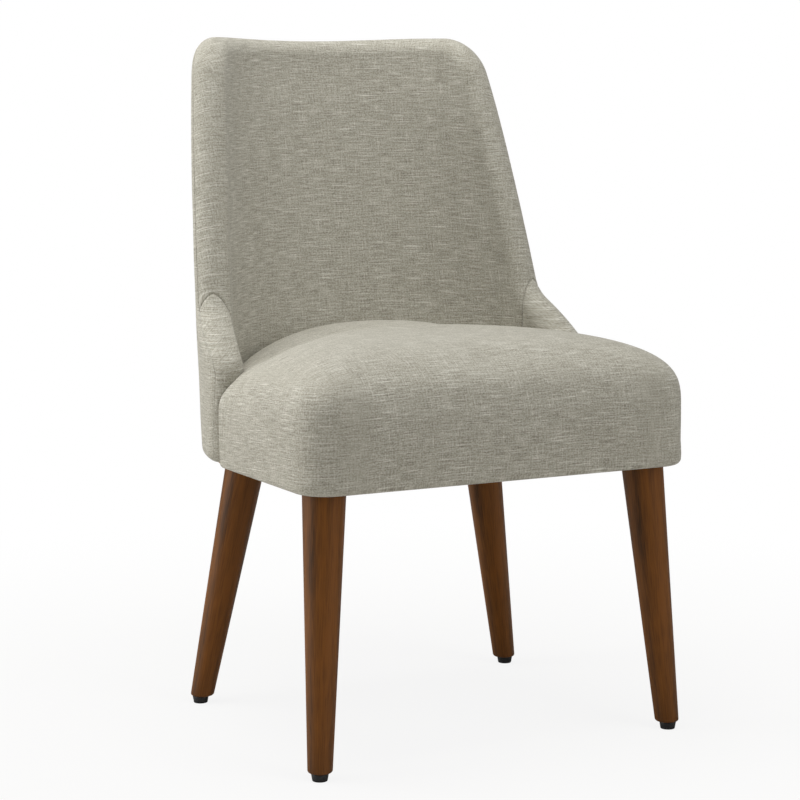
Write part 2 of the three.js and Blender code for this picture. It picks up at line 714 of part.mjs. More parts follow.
// Bolts from inside the frame into inserts in the plywood shell
function addBackBolts() {
  const head = railInnerOffset - panelInnerOffset - clearance;
  const tip = panelThickness - clearance;
  const bolt = turned([[0, head - backBoltHeadHeight], [backBoltHeadRadius, head - backBoltHeadHeight],
    [backBoltHeadRadius, head], [backBoltRadius, head], [backBoltRadius, tip], [0, tip]], roundSides);
  const insert = tube(backBoltRadius + clearance, backInsertRadius, clearance, tip);
  Object.entries(boltColumns).forEach(([end, column]) => sides.forEach(([side, way]) => {
    addPiece(chair, `back_bolt_${end}_${side}`, alongFacet(bolt, column, way), steel);
    addPiece(chair, `back_insert_${end}_${side}`, alongFacet(insert, column, way), steel);
  }));
}

// Thin black sheet that closes the underside, with holes for the legs
function addDustCover() {
  const low = legTop - dustThickness;
  const inset = seatDraw + seatHem + seatFlare + dustMargin;
  let sheet = frontPlate(inset, inset, low, legTop)
    .intersect(insideBarrel(0, low - overrun, legTop + overrun));
  [frontBolt, rearBolt].forEach(({ x, y }) => sides.forEach(([, way]) => {
    const hole = toSolid(rod(legTopRadius + dustThickness, 0, backTop, legSides));
    sheet = sheet.subtract(hole.translate([way * x, y, 0]));
  }));
  addPiece(chair, 'dust_cover', sheet, nonWoven);
}

// Turned leg in its own frame: the foot's centre on the floor at the origin, the top's centre at the given run
function legShape(run) {
  const axis = corner(run.x, run.y, legTop);
  const length = axis.length();
  const taper = (legTopRadius - legFootRadius) / length;
  const ends = [[-overrun, legFootRadius - overrun * taper], [length + overrun, legTopRadius + overrun * taper]];
  const [[low, lowRadius], [high, highRadius]] = ends;
  const blank = turned([[0, low], [lowRadius, low], [highRadius, high], [0, high]], legSides);
  blank.applyQuaternion(new THREE.Quaternion().setFromUnitVectors(corner(0, 0, 1), axis.clone().normalize()));
  const foot = axis.clone().multiplyScalar(legFoot / legTop);
  const footRadius = legFootRadius + legFoot * taper;
  const rounding = halfwayShares.map((share) => {
    const angle = share * Math.PI / 2;
    return [footRadius - legEndRound * (1 - Math.sin(angle)), legFoot + legEndRound * (1 - Math.cos(angle))];
  });
  const former = turned([[0, legFoot], [footRadius - legEndRound, legFoot], ...rounding,
    [farAway, legTop], [0, legTop]], legSides);
  former.translate(foot.x, foot.y, 0);
  const boltHole = rod(boltRadius + clearance, boltBottom - clearance, legTop + overrun);
  boltHole.translate(run.x, run.y, 0);
  const insertHole = rod(insertRadius + clearance, 0, legFoot + insertLength + clearance);
  const studHole = rod(studRadius + 2 * clearance, 0, glideHeight + studLength + studRoom);
  return [boltHole, insertHole, studHole].reduce((leg, hole) => leg.subtract(toSolid(hole)),
    toSolid(blank).intersect(toSolid(former)));
}

// Levelling glide: a moulded foot on a threaded stud, screwed up into the insert in the leg
function addGlide(place, tag) {
  const pocket = glideHeight - glidePocketDepth;
  const foot = turned([[0, 0], [glideFootRadius - glideChamfer, 0], [glideFootRadius, glideChamfer],
    [glideTopRadius, glideHeight - glideChamfer], [glideTopRadius - glideChamfer, glideHeight],
    [studHeadRadius + clearance, glideHeight], [studHeadRadius + clearance, pocket], [0, pocket]], roundSides);
  addPiece(place, `glide_base_${tag}`, foot, nylon);
  const low = pocket + clearance;
  const stud = turned([[0, low], [studHeadRadius, low], [studHeadRadius, glideHeight - clearance],
    [studRadius, glideHeight - clearance], [studRadius, glideHeight + studLength],
    [0, glideHeight + studLength]], roundSides);
  addPiece(place, `glide_stud_${tag}`, stud, steel);
  const insert = tube(studRadius + clearance, insertRadius, legFoot, legFoot + insertLength);
  addPiece(place, `foot_insert_${tag}`, insert, brass);
}

function addLegs() {
  const corners = [
    ['front', frontBolt, corner(frontSplayOut, -frontSplayForward, 0)],
    ['rear', rearBolt, corner(rearSplayOut, rearSplayBack, 0)],
  ];
  const bolt = rod(boltRadius, boltBottom, boltTop);
  const barrelLow = blockTop - nutBarrelLength;
  const flangeLow = blockTop + clearance;
  const flangeTop = flangeLow + nutFlangeThickness;
  const bore = boltRadius + clearance;
  const nut = turned([[bore, barrelLow], [nutBarrelRadius, barrelLow], [nutBarrelRadius, flangeLow],
    [nutFlangeRadius, flangeLow], [nutFlangeRadius, flangeTop], [bore, flangeTop], [bore, barrelLow]], roundSides);
  corners.forEach(([end, top, splay]) => sides.forEach(([side, way]) => {
    const tag = `${end}_${side}`;
    const place = new THREE.Group();
    place.position.set(way * (top.x + splay.x), top.y + splay.y, 0);
    chair.add(place);
    const run = corner(-way * splay.x, -splay.y, 0);
    addPiece(place, `leg_${tag}`, legShape(run), stainedWood);
    addGlide(place, tag);
    addPiece(place, `hanger_bolt_${tag}`, bolt, steel).position.copy(run);
    addPiece(place, `leg_nut_${tag}`, nut, steel).position.copy(run);
  }));
}

addSeat();
addDeck();
addRails();
addBlocks();
addBack();
addBackBolts();
addDustCover();
addLegs();

// Stand the chair on the floor with its origin under the middle of its bounding box
const bounds = new THREE.Box3().setFromObject(chair);
chair.position.y = -(bounds.min.y + bounds.max.y) / 2;

export default chair;
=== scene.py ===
"""Upholstered dining chair with a barrel back, a domed seat and turned, splayed legs.

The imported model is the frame. Each soft or turned part of it gets its finished surface here, worked out from
the same sizes, and every part gets its finish. Lengths are in metres. The chair faces -Y.
"""

import bmesh
import bpy
import numpy as np
from bpy.props import FloatProperty, FloatVectorProperty, PointerProperty
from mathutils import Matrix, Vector


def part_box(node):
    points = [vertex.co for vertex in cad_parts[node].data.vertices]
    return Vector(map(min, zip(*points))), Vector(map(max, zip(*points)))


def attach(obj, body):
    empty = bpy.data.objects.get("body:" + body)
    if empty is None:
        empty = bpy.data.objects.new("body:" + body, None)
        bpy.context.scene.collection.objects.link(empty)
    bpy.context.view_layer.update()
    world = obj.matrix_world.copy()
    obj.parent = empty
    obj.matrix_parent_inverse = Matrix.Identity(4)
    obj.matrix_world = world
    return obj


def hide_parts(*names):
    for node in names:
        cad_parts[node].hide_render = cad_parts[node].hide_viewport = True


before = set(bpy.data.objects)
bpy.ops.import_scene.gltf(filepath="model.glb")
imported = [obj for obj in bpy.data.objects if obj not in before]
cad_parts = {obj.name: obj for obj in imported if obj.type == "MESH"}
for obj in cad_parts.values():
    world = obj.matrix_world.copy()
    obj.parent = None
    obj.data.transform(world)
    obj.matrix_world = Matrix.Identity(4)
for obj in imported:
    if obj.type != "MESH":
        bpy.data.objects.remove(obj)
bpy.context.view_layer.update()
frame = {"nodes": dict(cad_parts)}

bl_info = {
    "name": "Barrel dining chair",
    "version": (1, 0, 0),
    "blender": (4, 5, 0),
    "location": "3D View > Sidebar > Chair",
    "description": "Upholstery, legs and finishes of a barrel-backed dining chair round its packed frame",
    "category": "Object",
}

BODY = "chair"
CORNERS = [f"{end}_{side}" for end in ("front", "rear") for side in ("left", "right")]

# How far the fabric rolls in at a seam, how wide that roll is, and the pucker beside it
SEAM_DEPTH = 0.0010
SEAM_WIDTH = 0.0035
SEAM_PUCKER = 0.00015

# Level down to which the inner face of the back is made; the seat hides the rest
INNER_FOOT = 0.402

# Shift of the outer cover's cloth coordinates, so that its slubs don't repeat the inner cover's
OUTER_CLOTH_SHIFT = np.array([0.37, 0.21])

# Rows of the seat's surface: those on its dome, and those down to where its walls' yarns take over
DOME_ROWS = 60
SHOULDER_ROW = 46

# Bores in a leg: the hanger bolt's, the glide stud's and the foot insert's
BOLT_BORE_RADIUS = 0.0043
BOLT_BORE_DEPTH = 0.0423
STUD_BORE_RADIUS = 0.0036
STUD_BORE_TOP = 0.038
INSERT_BORE_RADIUS = 0.0053
INSERT_BORE_LENGTH = 0.0185
BORE_CHAMFER = 0.0004
LEG_TOP_EDGE = 0.0006

# Moulded foot of a glide: rounding of its edges, and the pocket for the stud's head
GLIDE_EDGE = 0.0008
POCKET_RADIUS = 0.0063
POCKET_DEPTH = 0.0047


# Colours and sizes that a user would change


def linear(code):
    """Linear RGBA of an sRGB hex colour."""
    values = np.array([int(code[k : k + 2], 16) for k in (1, 3, 5)]) / 255
    bent = np.where(values <= 0.04045, values / 12.92, ((values + 0.055) / 1.055) ** 2.4)
    return (*bent.tolist(), 1.0)


def length(name, description, metres):
    """Property for a length in metres."""
    return FloatProperty(
        name=name,
        description=description,
        default=metres,
        min=0,
        precision=4,
        unit="LENGTH",
        subtype="DISTANCE",
    )


def share(name, description, default):
    """Property for a share or a power."""
    return FloatProperty(name=name, description=description, default=default, min=0)


def colour(name, description, code):
    """Property for a colour, given as an sRGB hex value."""
    return FloatVectorProperty(
        name=name, description=description, default=linear(code), size=4, min=0, max=1, subtype="COLOR"
    )


class CHAIR_PG_back(bpy.types.PropertyGroup):
    """Barrel back as a leaning and tapering superellipse, and the side view of its wings."""

    foot: length("Foot", "Height of the underside of the back", 0.329)
    top: length("Top", "Height of the top edge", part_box("inside_back_cover")[1][2])
    frame: length("Frame", "Height of the underside of the seat frame", 0.326)
    thickness: length("Thickness", "Thickness of the padded back", 0.044)
    tuck: length("Tuck", "Radius at which the outer cover turns under", 0.012)
    foot_width: length("Foot half width", "Half the width at the seat frame", 0.265)
    top_width: length("Top half width", "Half the width at the top", 0.236)
    bulge: length("Bulge", "How far the sides swell out halfway up", 0.003)
    depth: length("Depth", "Depth of the barrel behind its widest line", 0.230)
    lean: length("Lean", "How far the back leans by its top", 0.096)
    fullness: share("Fullness", "Power of the barrel's superellipse", 2.1)
    corner: length("Corner radius", "Radius of the two top corners", 0.030)
    dip: length("Dip", "How far the top edge dips in the middle", 0.004)
    dip_share: share("Dip share", "Share of the half width that the dip takes", 0.8)
    tip_setback: length("Tip setback", "Setback of the wings' upright front edge", 0.034)
    tip_rise: length("Tip rise", "Height of the upright edge above the frame", 0.110)
    waist_setback: length("Waist setback", "Setback of the wings' waist", 0.117)
    waist_rise: length("Waist rise", "Height of the waist above the frame", 0.169)
    bend_setback: length("Bend setback", "Setback of the upper bend", 0.167)
    bend_rise: length("Bend rise", "Height of the upper bend above the frame", 0.354)
    top_setback: length("Top setback", "Setback where the top corners begin", 0.201)
    tip_radius: length("Tip radius", "Radius between the upright edge and the sweep", 0.016)
    waist_radius: length("Waist radius", "Radius at the waist", 0.070)
    seam_setback: length("Seam setback", "Setback of the wings' seams at the middle of the rims", 0.1016)
    seam_skew: share("Seam skew", "How much further back the wings' seams lie, for each unit outward", 0.45)
    tip_fullness: length("Tip fullness", "How far the padding swells the wings' tips", 0.0012)
    seam_offset: length("Seam offset", "How far outward of the middle the upper seam lies", 0.018)


class CHAIR_PG_seat(bpy.types.PropertyGroup):
    """Domed box seat with a rounded front."""

    half_width: length("Half width", "Half the width of the seat, halfway along its sides", 0.257)
    front: length("Front reach", "Reach of the seat in front of the barrel's widest line", 0.227)
    corner: length("Corner radius", "Radius of the front corners in plan", 0.042)
    flare: length("Flare", "How much further apart the sides are at the wings, and closer in front", 0.0015)
    tuck: length("Tuck", "How far the sides reach past the front of the wings", 0.004)
    crown: length("Crown rise", "Height of the crown above the frame", 0.153)
    crown_setback: length("Crown setback", "Setback of the crown", 0.048)
    crown_ease: length("Crown ease", "How deep the top of the crown is flattened", 0.003)
    bulge: length("Bulge rise", "Height of the widest line above the frame", 0.062)
    draw: length("Draw", "How far the walls draw in towards the foot", 0.001)
    foot_radius: length("Foot radius", "Radius at which the cover turns under", 0.007)
    hem: length("Hem", "Width of the hem under the frame", 0.016)
    side_power: share("Side fullness", "Power of the dome towards the sides", 1.9)
    front_power: share("Front fullness", "Power of the dome towards the front", 3.8)
    rear_power: share("Rear fullness", "Power of the dome towards the back", 3.1)
    corner_power: share("Corner fullness", "Power added towards the front corners", 0.75)
    cover: length("Cover thickness", "Thickness of the cover with its lining", 0.0015)
    deck: length("Deck", "Height above which the foam fills the whole seat", 0.400)


class CHAIR_PG_legs(bpy.types.PropertyGroup):
    """Turned leg with its levelling glide."""

    top_radius: length("Top radius", "Radius at the top", 0.0252)
    foot_radius: length("Foot radius", "Radius at the floor", 0.014)
    end_round: length("End rounding", "Rounding of the foot's edge", 0.003)
    fit: length("Fit", "Clearance between fixed pieces", 0.0003)
    glide_height: length("Glide height", "Height of the glide's moulded foot", 0.009)
    glide_foot: length("Glide foot radius", "Radius of the glide on the floor", 0.00875)
    glide_top: length("Glide top radius", "Radius of the glide under the leg", 0.0101)


class CHAIR_PG_finish(bpy.types.PropertyGroup):
    """Colours of the finishes."""

    yarn_dark: colour("Dark yarn", "Shadowed gaps and the darkest yarns", "#6b665a")
    yarn: colour("Yarn", "Most of the yarns", "#aaa698")
    yarn_light: colour("Light yarn", "Slubs and the palest yarns", "#d6d4c9")
    stain_dark: colour("Dark stain", "Stain in the pores and late wood", "#42280f")
    stain: colour("Stain", "Walnut stain on the face of the wood", "#7a4a1a")
    wood: colour("Bare wood", "Unfinished frame wood", "#b98d5c")
    ply: colour("Plywood", "Face veneer of the plywood", "#c9a777")
    zinc: colour("Zinc", "Zinc plate on steel", "#b9bcc0")
    brass: colour("Brass", "Turned brass", "#b08d45")
    nylon: colour("Nylon", "Black moulded nylon", "#1b1b1b")
    dust: colour("Dust cover", "Black non-woven sheet", "#202022")


# Arrays


def lerp(low, high, part):
    """Straight mix: low at 0, high at 1."""
    return low + (high - low) * part


def unit(vectors):
    """Vectors divided by their lengths."""
    return vectors / np.maximum(np.linalg.norm(vectors, axis=-1, keepdims=True), 1e-12)


def smooth(low, high, value):
    """Rises from 0 at low to 1 at high along 3t^2 - 2t^3."""
    part = np.clip((value - low) / (high - low), 0, 1)
    return part * part * (3 - 2 * part)


def stacked(*parts):
    """Coordinates joined along a new last axis."""
    return np.stack(np.broadcast_arrays(*parts), axis=-1)


def uneven(points, waves, seed):
    """Gentle, repeatable unevenness between -1 and 1: a mean of sine waves of the given lengths, each in four
    seeded directions."""
    random = np.random.default_rng(seed)
    total = np.zeros(points.shape[:-1])
    for wave in waves:
        ways = unit(random.normal(size=(4, 3)))
        phases = random.uniform(0, 2 * np.pi, 4)
        total += np.sin(points @ ways.T * (2 * np.pi / wave) + phases).mean(axis=-1)
    return total / len(waves)


def rolled(distance, width, depth):
    """How far a cover's edge turns in: a quarter circle, stretched to the given width and depth, that is flat
    at that width from the edge and steepest at it."""
    near = 1 - np.clip(distance / width, 0, 1)
    return depth * (1 - np.sqrt(np.clip(1 - near * near, 0, 1)))


# Surface of the barrel back. A place is a share of the half arc, from -1 at the right lip to 1 at the left
# lip, and a level. Setbacks count from the barrel's widest line at the level of the seat frame.


def bend(start, middle, end, steps=60):
    """Points of the parabola with these two ends and this corner: (1-t)^2 a + 2t(1-t) b + t^2 c."""
    t = np.linspace(0, 1, steps)[:, None]
    return (1 - t) ** 2 * start + 2 * t * (1 - t) * middle + t**2 * end


def wing_setback(b, level):
    """Setback of the wings' edge at a level: upright, swept back to the waist, then leaning to the top, with
    each corner rounded by a parabola."""
    corner_start = b.top - b.thickness / 2 - b.corner
    corners = np.array(
        [
            [b.tip_setback, b.foot + b.tuck],
            [b.tip_setback, b.frame + b.tip_rise],
            [b.waist_setback, b.frame + b.waist_rise],
            [b.bend_setback, b.frame + b.bend_rise],
            [b.top_setback, corner_start],
        ]
    )
    path = [corners[:1]]
    for radius, before, here, after in zip((b.tip_radius, b.waist_radius), corners, corners[1:], corners[2:]):
        back, on = before - here, after - here
        half = np.arccos(unit(back) @ unit(on)) / 2
        cut = min(radius / np.tan(half), np.linalg.norm(back) / 2, np.linalg.norm(on) / 2)
        path.append(bend(here + unit(back) * cut, here, here + unit(on) * cut))
    path.append(bend(path[-1][-1], corners[3], corners[4]))
    path = np.concatenate(path)
    slope = np.divide(*(corners[4] - corners[3]))
    return np.interp(level, path[:, 1], path[:, 0]) + slope * np.maximum(level - corner_start, 0)


def barrel(b, turn, level):
    """Middle surface of the back and the way it faces: the superellipse |x/a|^n + |y/b|^n = 1 by its angle,
    with a that tapers and swells with the level and a centre that leans back."""
    rise = (level - b.frame) / (b.top - b.frame)
    wide = lerp(b.foot_width, b.top_width, rise) - b.thickness / 2 + b.bulge * np.sin(np.pi * rise)
    deep = b.depth - b.thickness / 2
    across = np.sign(turn) * np.abs(np.sin(turn)) ** (2 / b.fullness)
    along = np.abs(np.cos(turn)) ** (2 / b.fullness)
    point = stacked(wide * across, b.lean * rise + deep * along, level)
    power = b.fullness - 1
    facing = stacked(np.sign(across) * np.abs(across) ** power / wide, along**power / deep, 0 * level)
    return point, unit(facing)


def lip_turn(b, level):
    """Angle at which the superellipse reaches the wings' edge."""
    centre = b.lean * (level - b.frame) / (b.top - b.frame)
    along = (wing_setback(b, level) - centre) / (b.depth - b.thickness / 2)
    return np.arccos(np.clip(along, 0, 1) ** (b.fullness / 2))


def half_arc(b, level):
    """Length of the middle surface's section from the middle to the lip, as a sum of chords."""
    level = np.asarray(level, float)[..., None]
    turns = lip_turn(b, level) * np.linspace(0, 1, 41)
    points, _ = barrel(b, turns, level)
    return np.linalg.norm(np.diff(points, axis=-2), axis=-1).sum(axis=-1)


def back_place(b, part, level):
    """Point, facing and flat cloth coordinates of a place. Beyond the start of a top corner, squares round it
    are drawn in to quarter circles, and the top edge is lowered by a cosine bump in the middle."""
    part, level = np.broadcast_arrays(np.asarray(part, float), np.asarray(level, float))
    top = b.top - b.thickness / 2
    start = top - b.corner
    arc = half_arc(b, level)
    run = np.abs(part) * arc
    beyond, above = run - (arc - b.corner), level - start
    rounds = (beyond > 0) & (above > 0)
    reach = np.maximum(beyond, above) / np.maximum(np.hypot(beyond, above), 1e-9)
    run = np.where(rounds, arc - b.corner + beyond * reach, run)
    height = np.where(rounds, start + above * reach, level)
    part = np.sign(part) * run / arc
    waist = b.frame + b.waist_rise
    climb = np.clip((height - waist) / (top - waist), 0, 1)
    bump = (1 + np.cos(np.pi * np.minimum(1, np.abs(part) / b.dip_share))) / 2
    height = height - b.dip * bump * climb**2
    point, facing = barrel(b, part * lip_turn(b, height), height)
    return point, facing, stacked(part * arc, height)


def row_at(b, q):
    """Level and outer offset of a row. From 1 to 2 it goes from the top to the tuck, from 2 to 3 round the
    tuck's quarter circle."""
    high, low = b.top - b.thickness / 2, b.foot + b.tuck
    angle = np.clip(np.abs(q) - 2, 0, 1) * np.pi / 2
    level = lerp(high, low, np.clip(np.abs(q) - 1, 0, 1)) - b.tuck * np.sin(angle)
    return level, b.thickness / 2 - b.tuck * (1 - np.cos(angle))


def edge_at(b, q):
    """Place on the edge of the middle surface: along the top for q from -1 to 1, down the lips beyond."""
    return back_place(b, np.clip(q, -1, 1), row_at(b, q)[0])


def rim(b, q, angle):
    """Half-round rim, square to the edge: offset from the middle surface by the inner and outer offsets at
    angles 0 and pi, and a half circle between them."""
    q, angle = np.broadcast_arrays(np.asarray(q, float), np.asarray(angle, float))
    point, facing, flat = edge_at(b, q)
    held, step = np.clip(q, -2, 2), 1e-3
    (before, _, flat_before), (after, _, flat_after) = edge_at(b, held - step), edge_at(b, held + step)
    out = unit(np.cross(after - before, facing))
    way = unit(flat_after - flat_before)
    flat_out = stacked(-way[..., 1], way[..., 0])
    outer = row_at(b, q)[1]
    middle, radius = (outer - b.thickness / 2) / 2, (outer + b.thickness / 2) / 2
    outward = out * np.sin(angle)[..., None] - facing * np.cos(angle)[..., None]
    return point + facing * middle[..., None] + outward * radius[..., None], outward, flat, flat_out


def level_to_q(b, level):
    """Row of a level on the lips: 1 at the top and 2 where the tuck starts."""
    high, low = b.top - b.thickness / 2, b.foot + b.tuck
    return 1 + (high - level) / (high - low)


def behind_seam(b, points):
    """How far points lie behind the upright plane of the nearer wing's seam, measured along the setback."""
    outward = np.abs(points[..., 0]) - (b.foot_width - b.thickness)
    return points[..., 1] - b.seam_setback - b.seam_skew * outward


def seam_share(b, level):
    """Share at which the inner face crosses the plane of the wings' seams, or 1 where it lies behind it."""
    parts = np.linspace(0.4, 1, 240)
    point, facing, _ = back_place(b, parts[None, :], level[:, None])
    behind = behind_seam(b, point - facing * b.thickness / 2)
    last = np.clip((behind > 0).sum(axis=1) - 1, 0, len(parts) - 2)
    rows = np.arange(len(level))
    here, after = behind[rows, last], behind[rows, last + 1]
    part = np.clip(here / (here - after), 0, 1)
    return lerp(parts[last], parts[last + 1], part)


def seam_q(b, angle):
    """Where the plane of the wings' seams crosses the rim, as q on the left lip, for each angle."""
    q = np.linspace(1.3, 2, 400)
    behind = behind_seam(b, rim(b, q[None, :], angle[:, None])[0])
    return np.array([np.interp(0, -row, q) for row in behind])


# Meshes


def patch(points, outward, flat, **more):
    """Grid of points with its outward vectors, its cloth coordinates and, where given, other maps."""
    return {"points": points, "outward": outward, "flat": flat, **more}


def grid_quads(points):
    """Corner numbers of the quads of a grid."""
    rows, columns = points.shape[:2]
    number = np.arange(rows * columns).reshape(rows, columns)
    return stacked(number[:-1, :-1], number[:-1, 1:], number[1:, 1:], number[1:, :-1]).reshape(-1, 4)


def patch_faces(points, outward):
    """Quads of a grid, turned so that their normals point along the outward vectors."""
    quads = grid_quads(points)
    across = points[1:, 1:] - points[:-1, :-1]
    other = points[1:, :-1] - points[:-1, 1:]
    agrees = (np.cross(across, other) * outward[:-1, :-1]).sum(axis=-1)
    return quads if agrees.sum() > 0 else quads[:, ::-1]


def welded(name, mesh, distance, turned=False):
    """Object of a mesh with its doubles merged, smoothly shaded. A turned solid has its normals worked out
    again, because its rings may run either way."""
    work = bmesh.new()
    work.from_mesh(mesh)
    bmesh.ops.remove_doubles(work, verts=work.verts, dist=distance)
    if turned:
        bmesh.ops.recalc_face_normals(work, faces=work.faces)
    work.to_mesh(mesh)
    work.free()
    mesh.polygons.foreach_set("use_smooth", np.ones(len(mesh.polygons), bool))
    piece = bpy.data.objects.new(name, mesh)
    bpy.context.scene.collection.objects.link(piece)
    return piece


def sewn(name, patches):
    """One mesh from grids of points, welded where they meet, with its cloth coordinates as UV maps."""
    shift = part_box("seat_cover")[0][1] + bpy.context.scene.chair_seat.front
    starts = np.cumsum([0] + [p["points"][..., 0].size for p in patches])
    points = np.concatenate([p["points"].reshape(-1, 3) for p in patches]) + [0, shift, 0]
    faces = np.concatenate([patch_faces(p["points"], p["outward"]) + s for p, s in zip(patches, starts)])
    mesh = bpy.data.meshes.new(name)
    mesh.from_pydata(points, [], faces)
    for layer in ("flat", "wall"):
        if layer in patches[0]:
            values = np.concatenate([p[layer].reshape(-1, 2) for p in patches])
            mesh.uv_layers.new(name=layer).data.foreach_set("uv", values[faces.ravel()].ravel())
    if "wall_share" in patches[0]:
        values = np.concatenate([p["wall_share"].ravel() for p in patches])
        mesh.attributes.new("wall_share", "FLOAT", "POINT").data.foreach_set("value", values)
    return welded(name, mesh, 2e-5)


def spread(values, known, axis):
    """Values known at some rows or columns, read at every one by straight interpolation."""
    place = np.interp(np.arange(known[-1] + 1), known, np.arange(len(known)))
    low = np.minimum(place.astype(int), len(known) - 2)
    part = np.expand_dims(place - low, [k for k in range(values.ndim) if k != axis])
    return lerp(np.take(values, low, axis), np.take(values, low + 1, axis), part)


def settled(points, outward, held, cap, pressure=4.0, frames=20, step=3):
    """Cloth simulation of a cover over its foam. Every third row and column of the grid becomes a cloth that
    starts a little inside, is held where the cover is tacked or sewn, and is swelled by the foam's pressure
    without gravity. Its move, capped, is read back on to the whole grid."""
    rows, columns = (np.append(np.arange(0, count - 1, step), count - 1) for count in points.shape[:2])
    coarse, facing, fixed = (grid[np.ix_(rows, columns)] for grid in (points, outward, held))
    start = coarse - facing * (cap / 2 * (1 - fixed))[..., None]
    flat_start = start.reshape(-1, 3)
    _, first, number = np.unique(flat_start.round(6), axis=0, return_index=True, return_inverse=True)
    number = number.ravel()
    quads = number[patch_faces(coarse, facing)]
    corners = np.concatenate([quads[:, [0, 1, 2]], quads[:, [0, 2, 3]]])
    whole = (corners != np.roll(corners, 1, axis=1)).all(axis=1)
    mesh = bpy.data.meshes.new("cloth")
    mesh.from_pydata(flat_start[first], [], corners[whole])
    piece = bpy.data.objects.new("cloth", mesh)
    scene = bpy.context.scene
    scene.collection.objects.link(piece)
    tacked = piece.vertex_groups.new(name="tacked")
    tacked.add(np.flatnonzero(fixed.ravel()[first] > 0.9).tolist(), 1.0, "REPLACE")
    cloth = piece.modifiers.new("cloth", "CLOTH")
    fabric = cloth.settings
    fabric.quality = 6
    fabric.mass = 0.3
    fabric.bending_stiffness = 2
    fabric.tension_stiffness = 20
    fabric.compression_stiffness = 20
    fabric.shear_stiffness = 20
    fabric.use_pressure = True
    fabric.uniform_pressure_force = pressure
    fabric.effector_weights.gravity = 0
    fabric.vertex_group_mass = tacked.name
    cloth.point_cache.frame_start = 1
    cloth.point_cache.frame_end = frames
    for frame_number in range(1, frames + 1):
        scene.frame_set(frame_number)
    shape = piece.evaluated_get(bpy.context.evaluated_depsgraph_get()).data
    ended = np.empty(len(shape.vertices) * 3, np.float32)
    shape.vertices.foreach_get("co", ended)
    move = ended.reshape(-1, 3)[number].reshape(coarse.shape) - start
    bpy.data.objects.remove(piece)
    bpy.data.meshes.remove(mesh)
    scene.frame_set(1)
    size = np.linalg.norm(move, axis=-1, keepdims=True)
    move *= (1 - fixed)[..., None] * cap * np.tanh(size / cap) / np.maximum(size, 1e-9)
    move += start - coarse
    return points + spread(spread(move, rows, 0), columns, 1)


def thickened(piece, thickness):
    """Gives a cover its thickness on the inside, with closed edges."""
    wall = piece.modifiers.new("thickness", "SOLIDIFY")
    wall.thickness = thickness
    wall.offset = -1
    wall.use_rim = True
    return piece


def finished(piece, body, slot, look, *nodes):
    """Gives a piece its finish, the body that it rides on and the nodes that it stands for, which it hides.
    The slot argument is not used.
    """
    piece.data.materials.append(look)
    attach(piece, body)
    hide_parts(*nodes)


# Finishes


def add(tree, kind, inputs=None, stops=(), **settings):
    """Adds a node. Inputs are values, or sockets to link, by socket name or number. Stops are the positions
    and colours of a colour ramp, two or more."""
    node = tree.nodes.new(kind)
    for key, value in settings.items():
        setattr(node, key, value)
    for key, value in (inputs or {}).items():
        socket = node.inputs[key]
        if isinstance(value, bpy.types.NodeSocket):
            tree.links.new(value, socket)
        else:
            socket.default_value = value
    if stops:
        elements = node.color_ramp.elements
        while len(elements) < len(stops):
            elements.new(0.5)
        for element, (position, shade) in zip(elements, stops):
            element.position = position
            element.color = shade
    return node


def blank(name):
    """New material with an empty node tree."""
    look = bpy.data.materials.new(name)
    look.use_nodes = True
    look.node_tree.nodes.clear()
    return look, look.node_tree


def streaks(tree, place, across, along):
    """Noise stretched along U: streaks of the given width and length in metres."""
    scale = (1 / along, 1 / across, 1)
    scaled = add(tree, "ShaderNodeVectorMath", {0: place, 1: scale}, operation="MULTIPLY")
    inputs = {"Vector": scaled.outputs[0], "Scale": 1, "Detail": 1, "Roughness": 0.6}
    return add(tree, "ShaderNodeTexNoise", inputs, noise_dimensions="2D").outputs[0]


def blended(tree, *parts):
    """Weighted sum of (value, weight) pairs, each taken about its middle, round 0.5."""
    total = 0.5
    for value, weight in parts:
        centred = add(tree, "ShaderNodeMath", {0: value, 1: 0.5}, operation="SUBTRACT").outputs[0]
        inputs = {0: centred, 1: weight, 2: total}
        total = add(tree, "ShaderNodeMath", inputs, operation="MULTIPLY_ADD").outputs[0]
    return total


def weave_group():
    """Slub weave on flat cloth coordinates. The real yarns lie about 0.8 mm apart, which the render can't
    show, so the grain is drawn at 1.8 mm. Thin streaks, 20 to 45 mm long, run both ways, and most along the
    weft; the slubs are the palest of them."""
    group = bpy.data.node_groups.new("slub_weave", "ShaderNodeTree")
    group.interface.new_socket("Place", in_out="INPUT", socket_type="NodeSocketVector")
    group.interface.new_socket("Value", in_out="OUTPUT", socket_type="NodeSocketFloat")
    source = add(group, "NodeGroupInput").outputs[0]
    upright = (0, 0, 1)
    turned = add(group, "ShaderNodeVectorMath", {0: source, 1: upright}, operation="CROSS_PRODUCT").outputs[0]
    weft = streaks(group, source, across=0.0013, along=0.024)
    warp = streaks(group, turned, across=0.0014, along=0.020)
    slub = streaks(group, source, across=0.0014, along=0.045)
    warp_slub = streaks(group, turned, across=0.0015, along=0.034)
    grain = streaks(group, source, across=0.0018, along=0.0022)
    cloud = streaks(group, source, across=0.06, along=0.09)
    even = blended(group, (weft, 0.60), (warp, 0.28), (grain, 0.66), (cloud, 0.07))
    pale = {"Value": slub, "From Min": 0.63, "From Max": 0.78, "To Min": 0, "To Max": 0.34}
    bright = add(group, "ShaderNodeMapRange", pale)
    paler = {"Value": warp_slub, "From Min": 0.64, "From Max": 0.80, "To Min": 0, "To Max": 0.20}
    faint = add(group, "ShaderNodeMapRange", paler)
    some = add(group, "ShaderNodeMath", {0: even, 1: bright.outputs[0]}, operation="ADD")
    both = add(group, "ShaderNodeMath", {0: some.outputs[0], 1: faint.outputs[0]}, operation="ADD")
    add(group, "NodeGroupOutput", {0: both.outputs[0]})
    return group


